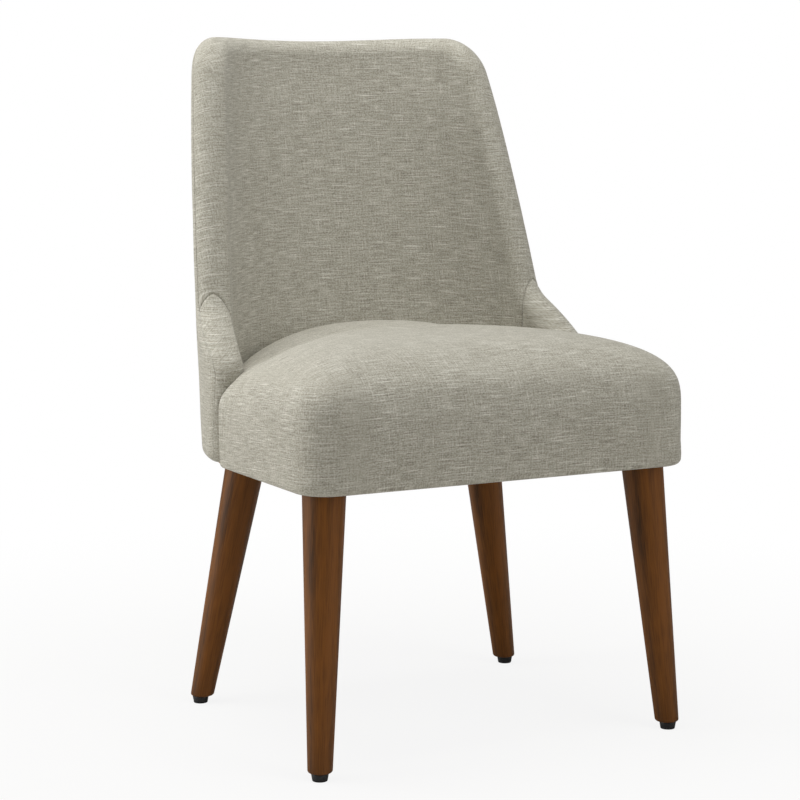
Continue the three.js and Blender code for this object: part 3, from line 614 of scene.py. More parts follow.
def linen_look(finish):
    """Linen-look upholstery fabric, a plain weave of polyester and viscose slub yarns in pale and dark taupe:
    matt, with short pale streaks both ways, and a faint sheen from the fibre ends at grazing angles."""
    look, tree = blank("linen_look_fabric")
    group = weave_group()
    values = []
    for layer in ("flat", "wall"):
        place = add(tree, "ShaderNodeUVMap", uv_map=layer)
        cloth = add(tree, "ShaderNodeGroup", node_tree=group)
        tree.links.new(place.outputs[0], cloth.inputs[0])
        values.append(cloth.outputs[0])
    part = add(tree, "ShaderNodeAttribute", attribute_name="wall_share").outputs["Fac"]
    value = add(tree, "ShaderNodeMix", {0: part, 2: values[0], 3: values[1]}).outputs[0]
    stops = [(0.05, finish.yarn_dark), (0.5, finish.yarn), (0.95, finish.yarn_light)]
    shade = add(tree, "ShaderNodeValToRGB", {0: value}, stops=stops)
    bump = add(tree, "ShaderNodeBump", {"Strength": 0.4, "Distance": 0.0005, "Height": value})
    fabric = {
        "Base Color": shade.outputs[0],
        "Roughness": 0.92,
        "IOR": 1.46,
        "Sheen Weight": 0.12,
        "Sheen Roughness": 0.5,
        "Normal": bump.outputs[0],
    }
    shader = add(tree, "ShaderNodeBsdfPrincipled", fabric)
    add(tree, "ShaderNodeOutputMaterial", {"Surface": shader.outputs[0]})
    return look


def walnut_stain(finish):
    """Rubberwood turned and sanded smooth, walnut-stained and lacquered to a satin gloss: an even warm brown
    with fine, slightly darker grain along the leg and short pores."""
    look, tree = blank("walnut_stained_hardwood")
    place = add(tree, "ShaderNodeAttribute", attribute_name="grain_place").outputs["Vector"]
    slow = add(tree, "ShaderNodeVectorMath", {0: place, 1: (70, 70, 3.5)}, operation="MULTIPLY").outputs[0]
    fast = add(tree, "ShaderNodeVectorMath", {0: place, 1: (900, 900, 28)}, operation="MULTIPLY").outputs[0]
    grain = {"Vector": slow, "Scale": 1, "Detail": 4, "Distortion": 0.6}
    bands = add(tree, "ShaderNodeTexNoise", grain).outputs[0]
    pores = add(tree, "ShaderNodeTexNoise", {"Vector": fast, "Scale": 1, "Detail": 2}).outputs[0]
    value = blended(tree, (bands, 1.5), (pores, 0.8))
    stops = [(0.15, finish.stain_dark), (0.75, finish.stain)]
    shade = add(tree, "ShaderNodeValToRGB", {0: value}, stops=stops)
    bump = add(tree, "ShaderNodeBump", {"Strength": 0.25, "Distance": 0.0002, "Height": pores})
    lacquer = {
        "Base Color": shade.outputs[0],
        "Roughness": 0.5,
        "IOR": 1.5,
        "Specular IOR Level": 0.2,
        "Normal": bump.outputs[0],
    }
    shader = add(tree, "ShaderNodeBsdfPrincipled", lacquer)
    add(tree, "ShaderNodeOutputMaterial", {"Surface": shader.outputs[0]})
    return look


# Finishes of one colour with darker streaks: the colour, the shade of the streaks as a share of it, their
# width and length in metres, the roughness, the metallic value and the depth of the relief in metres
STREAKED = {
    # Hardwood sawn and planed, with no finish on it: matt and pale, with darker grain
    "bare_hardwood": ("wood", 0.75, 0.004, 0.09, 0.7, 0.0, 0.0002),
    # Birch plywood with a sanded face veneer: smooth and yellowish, with long, faint grain
    "veneered_plywood": ("ply", 0.8, 0.006, 0.12, 0.65, 0.0, 0.0002),
    # Steel, cold formed and zinc plated: grey and half bright, slightly clouded
    "zinc_plated_steel": ("zinc", 0.85, 0.003, 0.003, 0.38, 1.0, 0.00003),
    # Brass turned on a lathe: yellow and half bright, with tool marks drawn 0.6 mm wide so that they show
    "turned_brass": ("brass", 0.85, 0.0006, 0.006, 0.35, 1.0, 0.00003),
    # Nylon moulded black: satin, with a fine, even texture from the mould
    "moulded_nylon": ("nylon", 0.8, 0.0008, 0.0008, 0.5, 0.0, 0.00005),
    # Polypropylene fibres bonded into a sheet: black and matt, with a felted grain
    "non_woven_polypropylene": ("dust", 0.6, 0.0016, 0.0016, 0.95, 0.0, 0.0003),
}


def streaked(finish, name):
    """Streaks of noise on object coordinates, in the colour and a darker one, and the same noise as relief."""
    colour_name, darker, across, along, roughness, metallic, relief = STREAKED[name]
    shade = getattr(finish, colour_name)[:]
    dark = (*(np.array(shade[:3]) * darker), 1)
    look, tree = blank(name)
    place = add(tree, "ShaderNodeTexCoord").outputs["Object"]
    scale = (1 / across, 1 / along, 1 / across)
    scaled = add(tree, "ShaderNodeVectorMath", {0: place, 1: scale}, operation="MULTIPLY").outputs[0]
    noise = add(tree, "ShaderNodeTexNoise", {"Vector": scaled, "Scale": 1, "Detail": 4}).outputs[0]
    mixed = add(tree, "ShaderNodeValToRGB", {0: noise}, stops=[(0.3, dark), (0.7, shade)]).outputs[0]
    bump = add(tree, "ShaderNodeBump", {"Strength": 0.4, "Distance": relief, "Height": noise}).outputs[0]
    inputs = {"Base Color": mixed, "Roughness": roughness, "Metallic": metallic, "Normal": bump}
    shader = add(tree, "ShaderNodeBsdfPrincipled", inputs)
    add(tree, "ShaderNodeOutputMaterial", {"Surface": shader.outputs[0]})
    return look


def look_for(name):
    """The finish of that name, made once."""
    finish = bpy.context.scene.chair_finish
    if name in bpy.data.materials:
        return bpy.data.materials[name]
    if name == "linen_look_fabric":
        return linen_look(finish)
    if name == "walnut_stained_hardwood":
        return walnut_stain(finish)
    return streaked(finish, name)


# Pieces


def back_columns(b):
    """Shares from lip to lip, closer together at the rounded corners and closest at the lips, where the last
    columns lie at given distances from them."""
    arc = float(half_arc(b, b.top - b.thickness / 2 - b.corner))
    corner_share = 1 - b.corner / arc
    lip = 1 - np.array([0.0055, 0.0035, 0.002, 0.001, 0.0004, 0]) / arc
    half = np.concatenate(
        [np.linspace(0, corner_share, 56)[1:], np.linspace(corner_share, lip[0], 12)[1:-1], lip]
    )
    return np.concatenate([-half[::-1], [0], half])


def back_rows(b, lowest):
    """Row numbers q from the top edge down to a level, closer together in the rounded corners, with one row
    where the wings' seams meet the inner face."""
    start = b.top - b.thickness / 2 - b.corner
    meet = float(seam_q(b, np.array([0.0]))[0])
    corner_q = float(level_to_q(b, start))
    low_q = float(level_to_q(b, lowest))
    return np.concatenate(
        [
            1 + (corner_q - 1) * np.linspace(0, 1, 13)[:-1] ** 1.3,
            np.linspace(corner_q, meet, 66)[:-1],
            np.linspace(meet, low_q, 24),
        ]
    )


def seam_relief(b, points, outward, distance, seed):
    """Moves a cover to its finished surface: edges rolled into the seam, slight puckers beside it, and the
    gentle unevenness of foam under cloth."""
    pucker = SEAM_PUCKER * np.exp(-distance / 0.014) * uneven(points, (0.013, 0.021), 5)
    soft = 0.0007 * uneven(points, (0.09, 0.16, 0.27), seed)
    moved = soft + pucker - rolled(distance, SEAM_WIDTH, SEAM_DEPTH)
    return points + outward * moved[..., None]


def upper_seam_angle(b):
    """Angle on the rim at which the seam runs round the top and down behind the lips."""
    return np.arccos(-b.seam_offset / (b.thickness / 2))


def inside_cover(b):
    """Inner face and the rim up to the seam. The inner face is the middle surface moved in by half the
    thickness; below the waist it ends at the plane of the wings' seams. In the cloth simulation it is held
    within 10 mm of its edges, where it is sewn, and below 430 mm, where the seat presses on it."""
    q_rows = back_rows(b, INNER_FOOT)
    level = row_at(b, q_rows)[0]
    reach = np.where(q_rows <= seam_q(b, np.array([0.0]))[0] + 1e-6, 1, seam_share(b, level))
    columns = back_columns(b)
    part = reach[:, None] * columns[None, :]
    point, facing, flat = back_place(b, part, level[:, None])
    points = point - facing * b.thickness / 2
    from_edge = (reach[:, None] - np.abs(part)) * half_arc(b, level)[:, None]
    from_edge = np.minimum(from_edge, (level[0] - level)[:, None])
    held = np.maximum(smooth(0.06, 0.01, from_edge), smooth(0.45, 0.43, level)[:, None])
    points = settled(points, -facing, held, cap=0.0025)
    beside = np.maximum(behind_seam(b, points), 0)
    face = patch(seam_relief(b, points, -facing, beside, 3), -facing, flat)

    seam_angle = upper_seam_angle(b)
    angles = seam_angle * (1 - (1 - np.linspace(0, 1, 22)) ** 1.5)
    meets = seam_q(b, angles)
    lip = q_rows[q_rows <= meets[0] + 1e-6]
    edge = np.concatenate([-lip[::-1], columns[1:-1], lip])
    down = np.clip(np.abs(edge) - 1, 0, None)
    q = np.sign(edge) * (np.minimum(np.abs(edge), 1) + down * (meets[:, None] - 1) / (meets[0] - 1))
    points, outward, flat, flat_out = rim(b, q, angles[:, None])
    around = b.thickness / 2 * angles[:, None]
    distance = np.minimum(np.maximum(behind_seam(b, points), 0), b.thickness / 2 * seam_angle - around)
    flat = flat + flat_out * around[..., None]
    rounded = patch(seam_relief(b, points, outward, distance, 3), outward, flat)
    return [face, rounded]


def outside_cover(b):
    """Outer face, the tuck under it, the rim behind the seam, and the wings' tips, where the outer cover goes
    on round the rim to the inner face in front of the seam."""
    radius = b.thickness / 2
    seam_angle = upper_seam_angle(b)
    columns = back_columns(b)
    q_rows = np.concatenate([back_rows(b, b.foot + b.tuck), np.linspace(2, 3, 9)[1:]])
    level, outer = row_at(b, q_rows)
    point, facing, flat = back_place(b, columns[None, :], level[:, None])
    sunk = np.clip(q_rows - 2, 0, 1)[:, None, None] * np.pi / 2
    outward = facing * np.cos(sunk) - np.array([0, 0, 1]) * np.sin(sunk)
    points = point + facing * outer[:, None, None]
    distance = np.full(points.shape[:2], radius * (np.pi - seam_angle))
    face = patch(seam_relief(b, points, outward, distance, 4), outward, flat + OUTER_CLOTH_SHIFT)

    angles = np.pi - (np.pi - seam_angle) * np.linspace(0, 1, 10) ** 0.7
    edge = np.concatenate([-q_rows[::-1], columns[1:-1], q_rows])
    points, outward, flat, flat_out = rim(b, edge, angles[:, None])
    behind = behind_seam(b, points)
    distance = np.where(behind > 0, radius * (angles[:, None] - seam_angle), 1) + np.maximum(-behind, 0)
    around = radius * (np.pi - angles[:, None])
    flat = flat + flat_out * around[..., None] + OUTER_CLOTH_SHIFT
    rounded = patch(seam_relief(b, points, outward, distance, 4), outward, flat)
    return [face, rounded, *wing_tip(b, 1), *wing_tip(b, -1)]


def tip_swell(b, points, distance):
    """How far the padding swells a wing's tip: smoothly up from its seam, and nothing beside the seat."""
    return b.tip_fullness * smooth(0, 0.03, distance) * smooth(0.438, 0.462, points[..., 2])


def wing_tip(b, way):
    """The outer cover's tongue in front of the seam plane on the left, way 1, or right, way -1: the rim from
    the seam's angle to the inner face, and the strip of inner face between the lip and the seam. Below the
    inner face's foot the tongue ends 7 mm outward of the rim's middle, hidden by the seat."""
    radius = b.thickness / 2
    seam_angle = upper_seam_angle(b)
    steps = np.linspace(0, 1, 24)
    start = seam_q(b, seam_angle * (1 - steps))
    meet = start[-1]
    bottom = float(level_to_q(b, INNER_FOOT))
    q_inner = np.linspace(meet, bottom, 24)
    q_low = np.linspace(bottom, 3, 22)[1:]
    run = (np.concatenate([q_inner, q_low]) - meet) / (3 - meet)
    q = start[:, None] + (3 - start[:, None]) * run[None, :]
    hidden_angle = np.arccos(-0.007 / radius)
    low_angle = hidden_angle * smooth(bottom, bottom + 0.03, meet + (3 - meet) * run)
    angle = lerp(seam_angle, low_angle[None, :], steps[:, None])
    points, outward, _, _ = rim(b, way * q, angle)
    around = radius * (np.pi - angle)
    distance = np.maximum(-behind_seam(b, points), 0)
    points = points + outward * (tip_swell(b, points, distance) * (1 + np.cos(angle)) / 2)[..., None]
    level_yarns = stacked(way * (half_arc(b, points[..., 2]) + around), points[..., 2])
    relief = seam_relief(b, points, outward, distance, 4)
    over = patch(relief, outward, level_yarns + OUTER_CLOTH_SHIFT)

    level = row_at(b, q_inner)[0]
    inner = seam_share(b, level)
    inner[0] = 1
    spread = 1 - (1 - np.linspace(0, 1, 16)) ** 1.3
    part = inner[:, None] + (1 - inner[:, None]) * spread
    point, facing, _ = back_place(b, way * part, level[:, None])
    points = point - facing * radius
    distance = np.maximum(-behind_seam(b, points), 0)
    points = points - facing * tip_swell(b, points, distance)[..., None]
    arc = half_arc(b, level)[:, None]
    level_yarns = stacked(way * (arc + radius * np.pi + (1 - part) * arc), points[..., 2])
    relief = seam_relief(b, points, -facing, distance, 4)
    strip = patch(relief, -facing, level_yarns + OUTER_CLOTH_SHIFT)
    return [over, strip]


def seat_side(s, b, drawn, steps=80):
    """Straight line of the seat's side in plan, from the front corner to where it ends beside the wing."""
    y = np.linspace(s.corner - s.front, b.tip_setback - b.thickness / 2, steps)
    return np.linspace(s.half_width - s.flare, s.half_width + s.flare, steps) - drawn, y


def seat_outline(s, b, level, drawn):
    """Half of the seat's plan at a level from the front middle to the back middle: straight front, rounded
    corner, slightly flared side and then the middle surface of the barrel."""
    front, radius = -(s.front - drawn), s.corner - drawn
    middle = s.half_width - s.flare - drawn - radius
    angle = np.linspace(-np.pi / 2, 0, 40)
    behind, _, _ = back_place(b, np.linspace(1, 0, 120), np.full(120, level))
    beside_x, beside_y = seat_side(s, b, drawn)
    ahead = np.linspace(0, middle, 60)[:-1]
    corner_x, corner_y = middle + radius * np.cos(angle), front + radius + radius * np.sin(angle)
    x = np.concatenate([ahead, corner_x, beside_x[1:], behind[:, 0]])
    y = np.concatenate([0 * ahead + front, corner_y, beside_y[1:], behind[:, 1]])
    return x, y


def back_room(s, b, level, drawn):
    """Half of the plan that the back leaves free at a level, with a gap of 0.5 mm: the seat's side, a rounded
    turn in front of the wing, the wing's rim and the inner face."""
    gap, turn = 0.0005, 0.005
    angles = np.linspace(0, np.pi / 2, 14)
    q = np.linspace(1.2, 2, 160)
    grid, _, _, _ = rim(b, q[None, :], angles[:, None])
    edge = np.array([[np.interp(-level, -row[:, 2], row[:, k]) for k in (0, 1)] for row in grid])
    tip_y = edge[-1, 1] - gap
    side_x, side_y = seat_side(s, b, drawn)
    half = float(np.interp(tip_y, side_y, side_x))
    bent = np.linspace(0, np.pi / 2, 12)
    parts = np.linspace(1, 0, 120)[1:]
    point, facing, _ = back_place(b, parts, np.full(len(parts), level))
    face = point - facing * (b.thickness / 2 + gap)
    rim_x, rim_y = edge[::-1, 0] - gap, edge[::-1, 1] - gap
    beside = np.linspace(-s.front / 2, tip_y - turn, 60)[:-1]
    x = np.concatenate([0 * beside + half, half - turn + turn * np.cos(bent), rim_x, face[:, 0]])
    y = np.concatenate([beside, tip_y - turn + turn * np.sin(bent), rim_y, face[:, 1]])
    return x, y


def wrapped(s, b, points):
    """Moves the ends of the sides back round the wings' rims, by r - sqrt(r^2 - d^2) at a distance d outward
    of the rim's middle, fading out towards the front."""
    radius = b.thickness / 2
    level = np.clip(points[..., 2], b.foot + b.tuck, b.frame + b.tip_rise)
    lip = np.abs(back_place(b, 1, level)[0][..., 0])
    beyond = np.clip(np.abs(points[..., 0]) - lip, 0, 0.9 * radius)
    shift = np.minimum(radius - np.sqrt(radius**2 - beyond**2), s.tuck)
    end = b.tip_setback - radius
    moved = points.copy()
    moved[..., 1] += shift * smooth(end - 0.05, end - 0.004, points[..., 1])
    return moved


def back_gap(b, points):
    """Distance from the back's middle surface to points inside the barrel, less half the back's thickness, as
    the superellipse's value turned into a length."""
    level = np.maximum(points[..., 2], b.foot)
    rise = (level - b.frame) / (b.top - b.frame)
    wide = lerp(b.foot_width, b.top_width, rise) - b.thickness / 2 + b.bulge * np.sin(np.pi * rise)
    deep = b.depth - b.thickness / 2
    along = np.maximum(points[..., 1] - b.lean * rise, 0) / deep
    value = (np.abs(points[..., 0] / wide) ** b.fullness + along**b.fullness) ** (1 / b.fullness)
    gap = (1 - value) * np.minimum(wide, deep) - b.thickness / 2
    return np.where(points[..., 1] > b.tip_setback - b.thickness / 2 - 0.01, gap, 1)


def radius_at(angle, x, y, middle):
    """Radius of a plan curve about the crown at given angles."""
    seen = np.arctan2(y - middle, x)
    seen = np.maximum.accumulate(seen + np.arange(len(seen)) * 1e-9)
    return np.interp(angle, seen, np.hypot(x, y - middle))


def looked_up(table, levels, value):
    """Reads a table with a row for each level, at one value in each column, by straight interpolation."""
    place = np.clip((value - levels[0]) / (levels[1] - levels[0]), 0, len(levels) - 1.001)
    row = place.astype(int)
    column = np.broadcast_to(np.arange(table.shape[1]), row.shape)
    return lerp(table[row, column], table[row + 1, column], place - row)


def softer(a, b, width):
    """Lesser of two lengths with a rounded corner where they cross."""
    part = np.clip(0.5 + 0.5 * (b - a) / width, 0, 1)
    return lerp(b, a, part) - width * part * (1 - part)


def seat_surface(s, b):
    """Seat cover as one surface round the crown. In each direction the dome is a superellipse quarter from
    the crown to the widest line, cut off by the back with a rolled edge; below that the walls draw in, turn
    under and end in the hem. Behind the wings the surface ends at the deck. The crown itself is flattened: a
    depth t below it becomes sqrt(t^2 + e^2) - e/2, fading out 20 mm further down."""
    middle = s.crown_setback
    wing = np.arctan2(b.tip_setback - b.thickness / 2 - middle, s.half_width)
    # Directions from the front middle to the back middle, closest together at the corner and at the wing
    half_angles = np.concatenate(
        [
            np.linspace(-np.pi / 2, -1.05, 40)[:-1],
            np.linspace(-1.05, -0.45, 60)[:-1],
            np.linspace(-0.45, wing - 0.05, 30)[:-1],
            np.linspace(wing - 0.05, wing + 0.10, 44)[:-1],
            np.linspace(wing + 0.10, np.pi / 2, 70),
        ]
    )
    # The hem's fabric lies under the frame, 1.8 mm deep with its clearance
    bulge, foot = b.frame + s.bulge, b.frame - 0.0018 + s.foot_radius
    height = s.crown - s.bulge
    levels = np.linspace(b.frame - 0.01, b.frame + s.crown + 0.005, 60)
    dome_table = np.array([radius_at(half_angles, *seat_outline(s, b, z, 0), middle) for z in levels])
    room_table = np.array([radius_at(half_angles, *back_room(s, b, z, 0), middle) for z in levels])

    away_x, away_y = np.cos(half_angles), np.sin(half_angles)
    power = lerp(s.side_power, np.where(away_y < 0, s.front_power, s.rear_power), away_y**2)
    power = power + s.corner_power * np.abs(2 * away_x * away_y) * (away_y < 0)
    angle = np.linspace(0, 1, DOME_ROWS)[:, None] * np.pi / 2
    level = bulge + height * np.maximum(0, np.cos(angle)) ** (2 / power)
    reach = looked_up(dome_table, levels, level) * np.sin(angle) ** (2 / power)
    behind = half_angles > wing - 0.03
    width = 0.0002 + 0.012 * smooth(wing + 0.035, wing + 0.09, half_angles)
    free = looked_up(room_table, levels, level)
    reach = np.where(behind, softer(reach, free, width), reach)
    rows = [stacked(reach, level)]

    walls = np.linspace(0, 1, 22)[1:]
    turn = np.linspace(0, np.pi / 2, 9)[1:]
    wall_level = np.concatenate(
        [lerp(bulge, foot, walls), foot - s.foot_radius * np.sin(turn), [foot - s.foot_radius] * 3]
    )
    hem_steps = s.draw + s.foot_radius + (s.hem - s.foot_radius) * np.array([1, 2, 3]) / 3
    drawn = np.concatenate([s.draw * walls**2, s.draw + s.foot_radius * (1 - np.cos(turn)), hem_steps])
    lowest = lerp(foot - s.foot_radius, s.deck, smooth(wing + 0.003, wing + 0.03, half_angles))
    for z, inset in zip(wall_level, drawn):
        outline = radius_at(half_angles, *seat_outline(s, b, z, inset), middle)
        free = radius_at(half_angles, *back_room(s, b, z, inset), middle)
        stop = np.maximum(z, lowest)
        held = looked_up(room_table, levels, stop)
        row = np.where(behind, np.minimum(outline, free), outline)
        row = np.where(z < lowest, np.minimum(row, held), row)
        rows.append(stacked(row, stop)[None])
    reach, level = np.moveaxis(np.concatenate(rows), -1, 0)
    below = b.frame + s.crown - level
    eased = np.hypot(below, s.crown_ease) - s.crown_ease / 2
    level = level + (below - eased) * np.exp(-((below / 0.020) ** 2))
    half = stacked(reach * away_x, reach * away_y + middle, level)
    other = half[:, -2:0:-1] * [-1, 1, 1]
    return np.concatenate([half, other, half[:, :1]], axis=1)


def seat_cloth(points):
    """Flat cloth coordinates of the seat. On the top they are the plan with the steepness added along the way
    out of the outline; on the side walls they are the way round and the drop, so that yarns run level."""
    down = np.diff(points, axis=0, prepend=points[:1])
    step = np.linalg.norm(down, axis=-1)
    plan = np.linalg.norm(down[..., :2], axis=-1)
    ring = points[DOME_ROWS, :, :2]
    along = np.roll(ring[:-1], -1, axis=0) - np.roll(ring[:-1], 1, axis=0)
    along = unit(np.concatenate([along, along[:1]]))
    out = stacked(along[:, 1], -along[:, 0])
    extra = np.cumsum(np.where(step > plan, step - plan, 0), axis=0)
    flat = points[..., :2] + out[None] * extra[..., None]

    around = np.concatenate([[0], np.cumsum(np.linalg.norm(np.diff(ring, axis=0), axis=-1))])
    drop = np.cumsum(step, axis=0) - np.cumsum(step, axis=0)[SHOULDER_ROW]
    wall = stacked(np.broadcast_to(around, drop.shape), flat[SHOULDER_ROW, 0, 1] - drop)
    rows = np.arange(len(points))[:, None]
    side = smooth(0.165, 0.225, np.abs(points[..., 0]))
    wall_share = smooth(SHOULDER_ROW - 14, SHOULDER_ROW + 2, rows) * side
    return flat, wall, wall_share


def leg_surface(legs, foot, top, level_top):
    """Turned leg: a cone about the line from foot to top, cut level at both ends. Each ring lies at one level,
    where the cone's straight lines cross it; the first and last rings line the bores. Comes with the points
    along and across the leg, for its grain."""
    low = legs.glide_height + legs.fit
    axis = np.array([*(top - foot), level_top])
    reach = np.linalg.norm(axis)
    axis = axis / reach
    side = unit(np.cross(axis, [0, 1, 0]))
    other = np.cross(axis, side)
    turn = np.linspace(0, 2 * np.pi, 97)
    spoke = np.cos(turn)[:, None] * side + np.sin(turn)[:, None] * other
    taper = (legs.top_radius - legs.foot_radius) / reach

    def ring(level, inset=0.0):
        along = (level - (legs.foot_radius - inset) * spoke[:, 2]) / (axis[2] + taper * spoke[:, 2])
        radius = legs.foot_radius + taper * along - inset
        return along[:, None] * axis + radius[:, None] * spoke + [*foot, 0]

    def bore(centre, radius, level):
        return stacked(centre[0] + radius * np.cos(turn), centre[1] + radius * np.sin(turn), level)

    insert_top = low + INSERT_BORE_LENGTH
    bolt_end = level_top - BOLT_BORE_DEPTH
    shoulder = level_top - LEG_TOP_EDGE
    edge = np.linspace(0, np.pi / 2, 7)
    rings = [
        bore(foot, 0, STUD_BORE_TOP),
        bore(foot, STUD_BORE_RADIUS, STUD_BORE_TOP),
        bore(foot, STUD_BORE_RADIUS, insert_top),
        bore(foot, INSERT_BORE_RADIUS, insert_top),
        bore(foot, INSERT_BORE_RADIUS, low + BORE_CHAMFER),
        bore(foot, INSERT_BORE_RADIUS + BORE_CHAMFER, low),
    ]
    rings += [ring(low + legs.end_round * (1 - np.cos(a)), legs.end_round * (1 - np.sin(a))) for a in edge]
    rings += [ring(z) for z in np.linspace(low + legs.end_round, shoulder, 40)[1:]]
    rings += [ring(shoulder + LEG_TOP_EDGE * np.sin(a), LEG_TOP_EDGE * (1 - np.cos(a))) for a in edge[2::2]]
    rings += [
        bore(top, BOLT_BORE_RADIUS, level_top),
        bore(top, BOLT_BORE_RADIUS, bolt_end),
        bore(top, 0, bolt_end),
    ]
    points = np.array(rings)
    grain = (points - [*foot, 0]) @ np.stack([side, other, axis], axis=-1)
    return points, grain


def turned_piece(name, points, **attributes):
    """Closed piece from rings of points, welded at its poles and along its join, with crisp edges where it
    bends by more than 35 degrees."""
    mesh = bpy.data.meshes.new(name)
    mesh.from_pydata(points.reshape(-1, 3), [], grid_quads(points))
    for key, values in attributes.items():
        mesh.attributes.new(key, "FLOAT_VECTOR", "POINT").data.foreach_set("vector", values.ravel())
    piece = welded(name, mesh, 1e-6, turned=True)
    mesh.set_sharp_from_angle(angle=np.radians(35))
    return piece


def centre_of(node):
    """Middle of a node's box in plan."""
    low, high = (np.array(corner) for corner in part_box(node))
    return (low + high)[:2] / 2


# Operators


class CHAIR_OT_stage(bpy.types.Operator):
    """Floor, lights, world and the camera at the photograph's angle"""

    bl_idname = "chair.stage"
    bl_label = "Stage, lights and camera"

    def execute(self, context):
        scene = context.scene
        make_camera(scene)
        make_world(scene)
        make_lamps(scene)
        make_floor(scene)
        scene.view_settings.view_transform = "Standard"
        return {"FINISHED"}


def aimed(thing, place, target):
    """Puts a lamp or the camera at a place and turns it to a target."""
    thing.location = place
    thing.rotation_euler = (Vector(target) - Vector(place)).to_track_quat("-Z", "Y").to_euler()


def make_camera(scene):
    """Camera at the photograph's angle, from a fit to the feet, the legs' tops and the outlines."""
    lens = bpy.data.cameras.new("camera")
    lens.lens = 107.36
    lens.sensor_width = 36
    camera = bpy.data.objects.new("camera", lens)
    scene.collection.objects.link(camera)
    aimed(camera, (-1.35606, -2.59905, 0.79215), (0, -0.00183, 0.38559))
    scene.camera = camera


def make_world(scene):
    """Even, weak studio light, with plain white behind the object in the camera's view."""
    world = bpy.data.worlds.new("studio")
    world.use_nodes = True
    tree = world.node_tree
    tree.nodes.clear()
    seen = add(tree, "ShaderNodeLightPath").outputs["Is Camera Ray"]
    light = add(tree, "ShaderNodeBackground", {"Color": linear("#ffffff"), "Strength": 0.19})
    white = add(tree, "ShaderNodeBackground", {"Color": linear("#ffffff"), "Strength": 1})
    mixed = add(tree, "ShaderNodeMixShader", {0: seen, 1: light.outputs[0], 2: white.outputs[0]})
    add(tree, "ShaderNodeOutputWorld", {"Surface": mixed.outputs[0]})
    scene.world = world


def make_lamps(scene):
    """Three large soft lamps: overhead, low on the left and a weaker one in front on the right."""
    for name, place, target, size, power in (
        ("overhead", (-0.3, 0.0, 2.6), (0, 0, 0.4), 1.6, 42),
        ("side", (-2.5, 1.0, 1.0), (0, 0, 0.4), 2.2, 54),
        ("front", (1.6, -2.8, 1.6), (0, 0, 0.6), 2.2, 31),
    ):
        light = bpy.data.lights.new(name, "AREA")
        light.size = size
        light.energy = power
        lamp = bpy.data.objects.new(name, light)
        scene.collection.objects.link(lamp)
        aimed(lamp, place, target)


def make_floor(scene):
    """Pale floor, 12 m across, that keeps the chair's shadow near it. In the camera's view it fades to plain
    white, from 0.35 m to 1.3 m away from its middle."""
    x, y = np.meshgrid([-6, 0, 6], [-6, 0, 6])
    points = stacked(x, y, 0 * x)
    mesh = bpy.data.meshes.new("floor")
    mesh.from_pydata(points.reshape(-1, 3), [], patch_faces(points, points * 0 + [0, 0, 1]))
    floor = bpy.data.objects.new("floor", mesh)
    scene.collection.objects.link(floor)
    look, tree = blank("studio_floor")
    matt = add(tree, "ShaderNodeBsdfDiffuse", {"Color": linear("#dedcd8"), "Roughness": 0.9})
    glow = add(tree, "ShaderNodeEmission", {"Color": linear("#ffffff"), "Strength": 1.0})
    seen = add(tree, "ShaderNodeLightPath").outputs["Is Camera Ray"]
    place = add(tree, "ShaderNodeTexCoord").outputs["Object"]
    away = add(tree, "ShaderNodeVectorMath", {0: place}, operation="LENGTH").outputs["Value"]
    fade = {"Value": away, "From Min": 0.35, "From Max": 1.3, "To Min": 0.87, "To Max": 1}
    far = add(tree, "ShaderNodeMapRange", fade, interpolation_type="SMOOTHSTEP").outputs[0]
    part = add(tree, "ShaderNodeMath", {0: seen, 1: far}, operation="MULTIPLY")
    mixed = add(tree, "ShaderNodeMixShader", {0: part.outputs[0], 1: matt.outputs[0], 2: glow.outputs[0]})
    add(tree, "ShaderNodeOutputMaterial", {"Surface": mixed.outputs[0]})
    mesh.materials.append(look)


class CHAIR_OT_seat(bpy.types.Operator):
    """Domed seat upholstery with its hem"""

    bl_idname = "chair.seat"
    bl_label = "Seat upholstery"

    def execute(self, context):
        s, b = context.scene.chair_seat, context.scene.chair_back
        points = wrapped(s, b, seat_surface(s, b))
        flat, wall, wall_share = seat_cloth(points)
        outward = unit(points - [0, s.crown_setback, b.frame + s.bulge / 2])
        soft = 0.0008 * uneven(points, (0.11, 0.19, 0.3), 8)
        # The cover is tacked under the frame, free from 30 mm above it, and held within 6 mm of the back
        free = smooth(0, 0.02, points[..., 2] - (b.frame + 0.01))
        held = np.clip(1 - free + smooth(0.006, 0, back_gap(b, points)), 0, 1)
        points = settled(points, outward, held, cap=0.003)
        points = points + outward * (soft * free)[..., None]
        seat = sewn("seat_upholstery", [patch(points, outward, flat, wall=wall, wall_share=wall_share)])
        thickened(seat, s.cover)
        finished(seat, BODY, "linen", look_for("linen_look_fabric"), "seat_cover", "seat_foam")
        return {"FINISHED"}


class CHAIR_OT_back(bpy.types.Operator):
    """Padded inside and outside of the back, sewn together along the wings and round the top"""

    bl_idname = "chair.back"
    bl_label = "Back upholstery"

    def execute(self, context):
        s, b = context.scene.chair_seat, context.scene.chair_back
        look = look_for("linen_look_fabric")
        inside = thickened(sewn("inside_back_upholstery", inside_cover(b)), s.cover)
        finished(inside, BODY, "linen", look, "inside_back_cover", "back_foam")
        outside = thickened(sewn("outside_back_upholstery", outside_cover(b)), s.cover)
        finished(outside, BODY, "linen", look, "outside_back_cover")
        return {"FINISHED"}


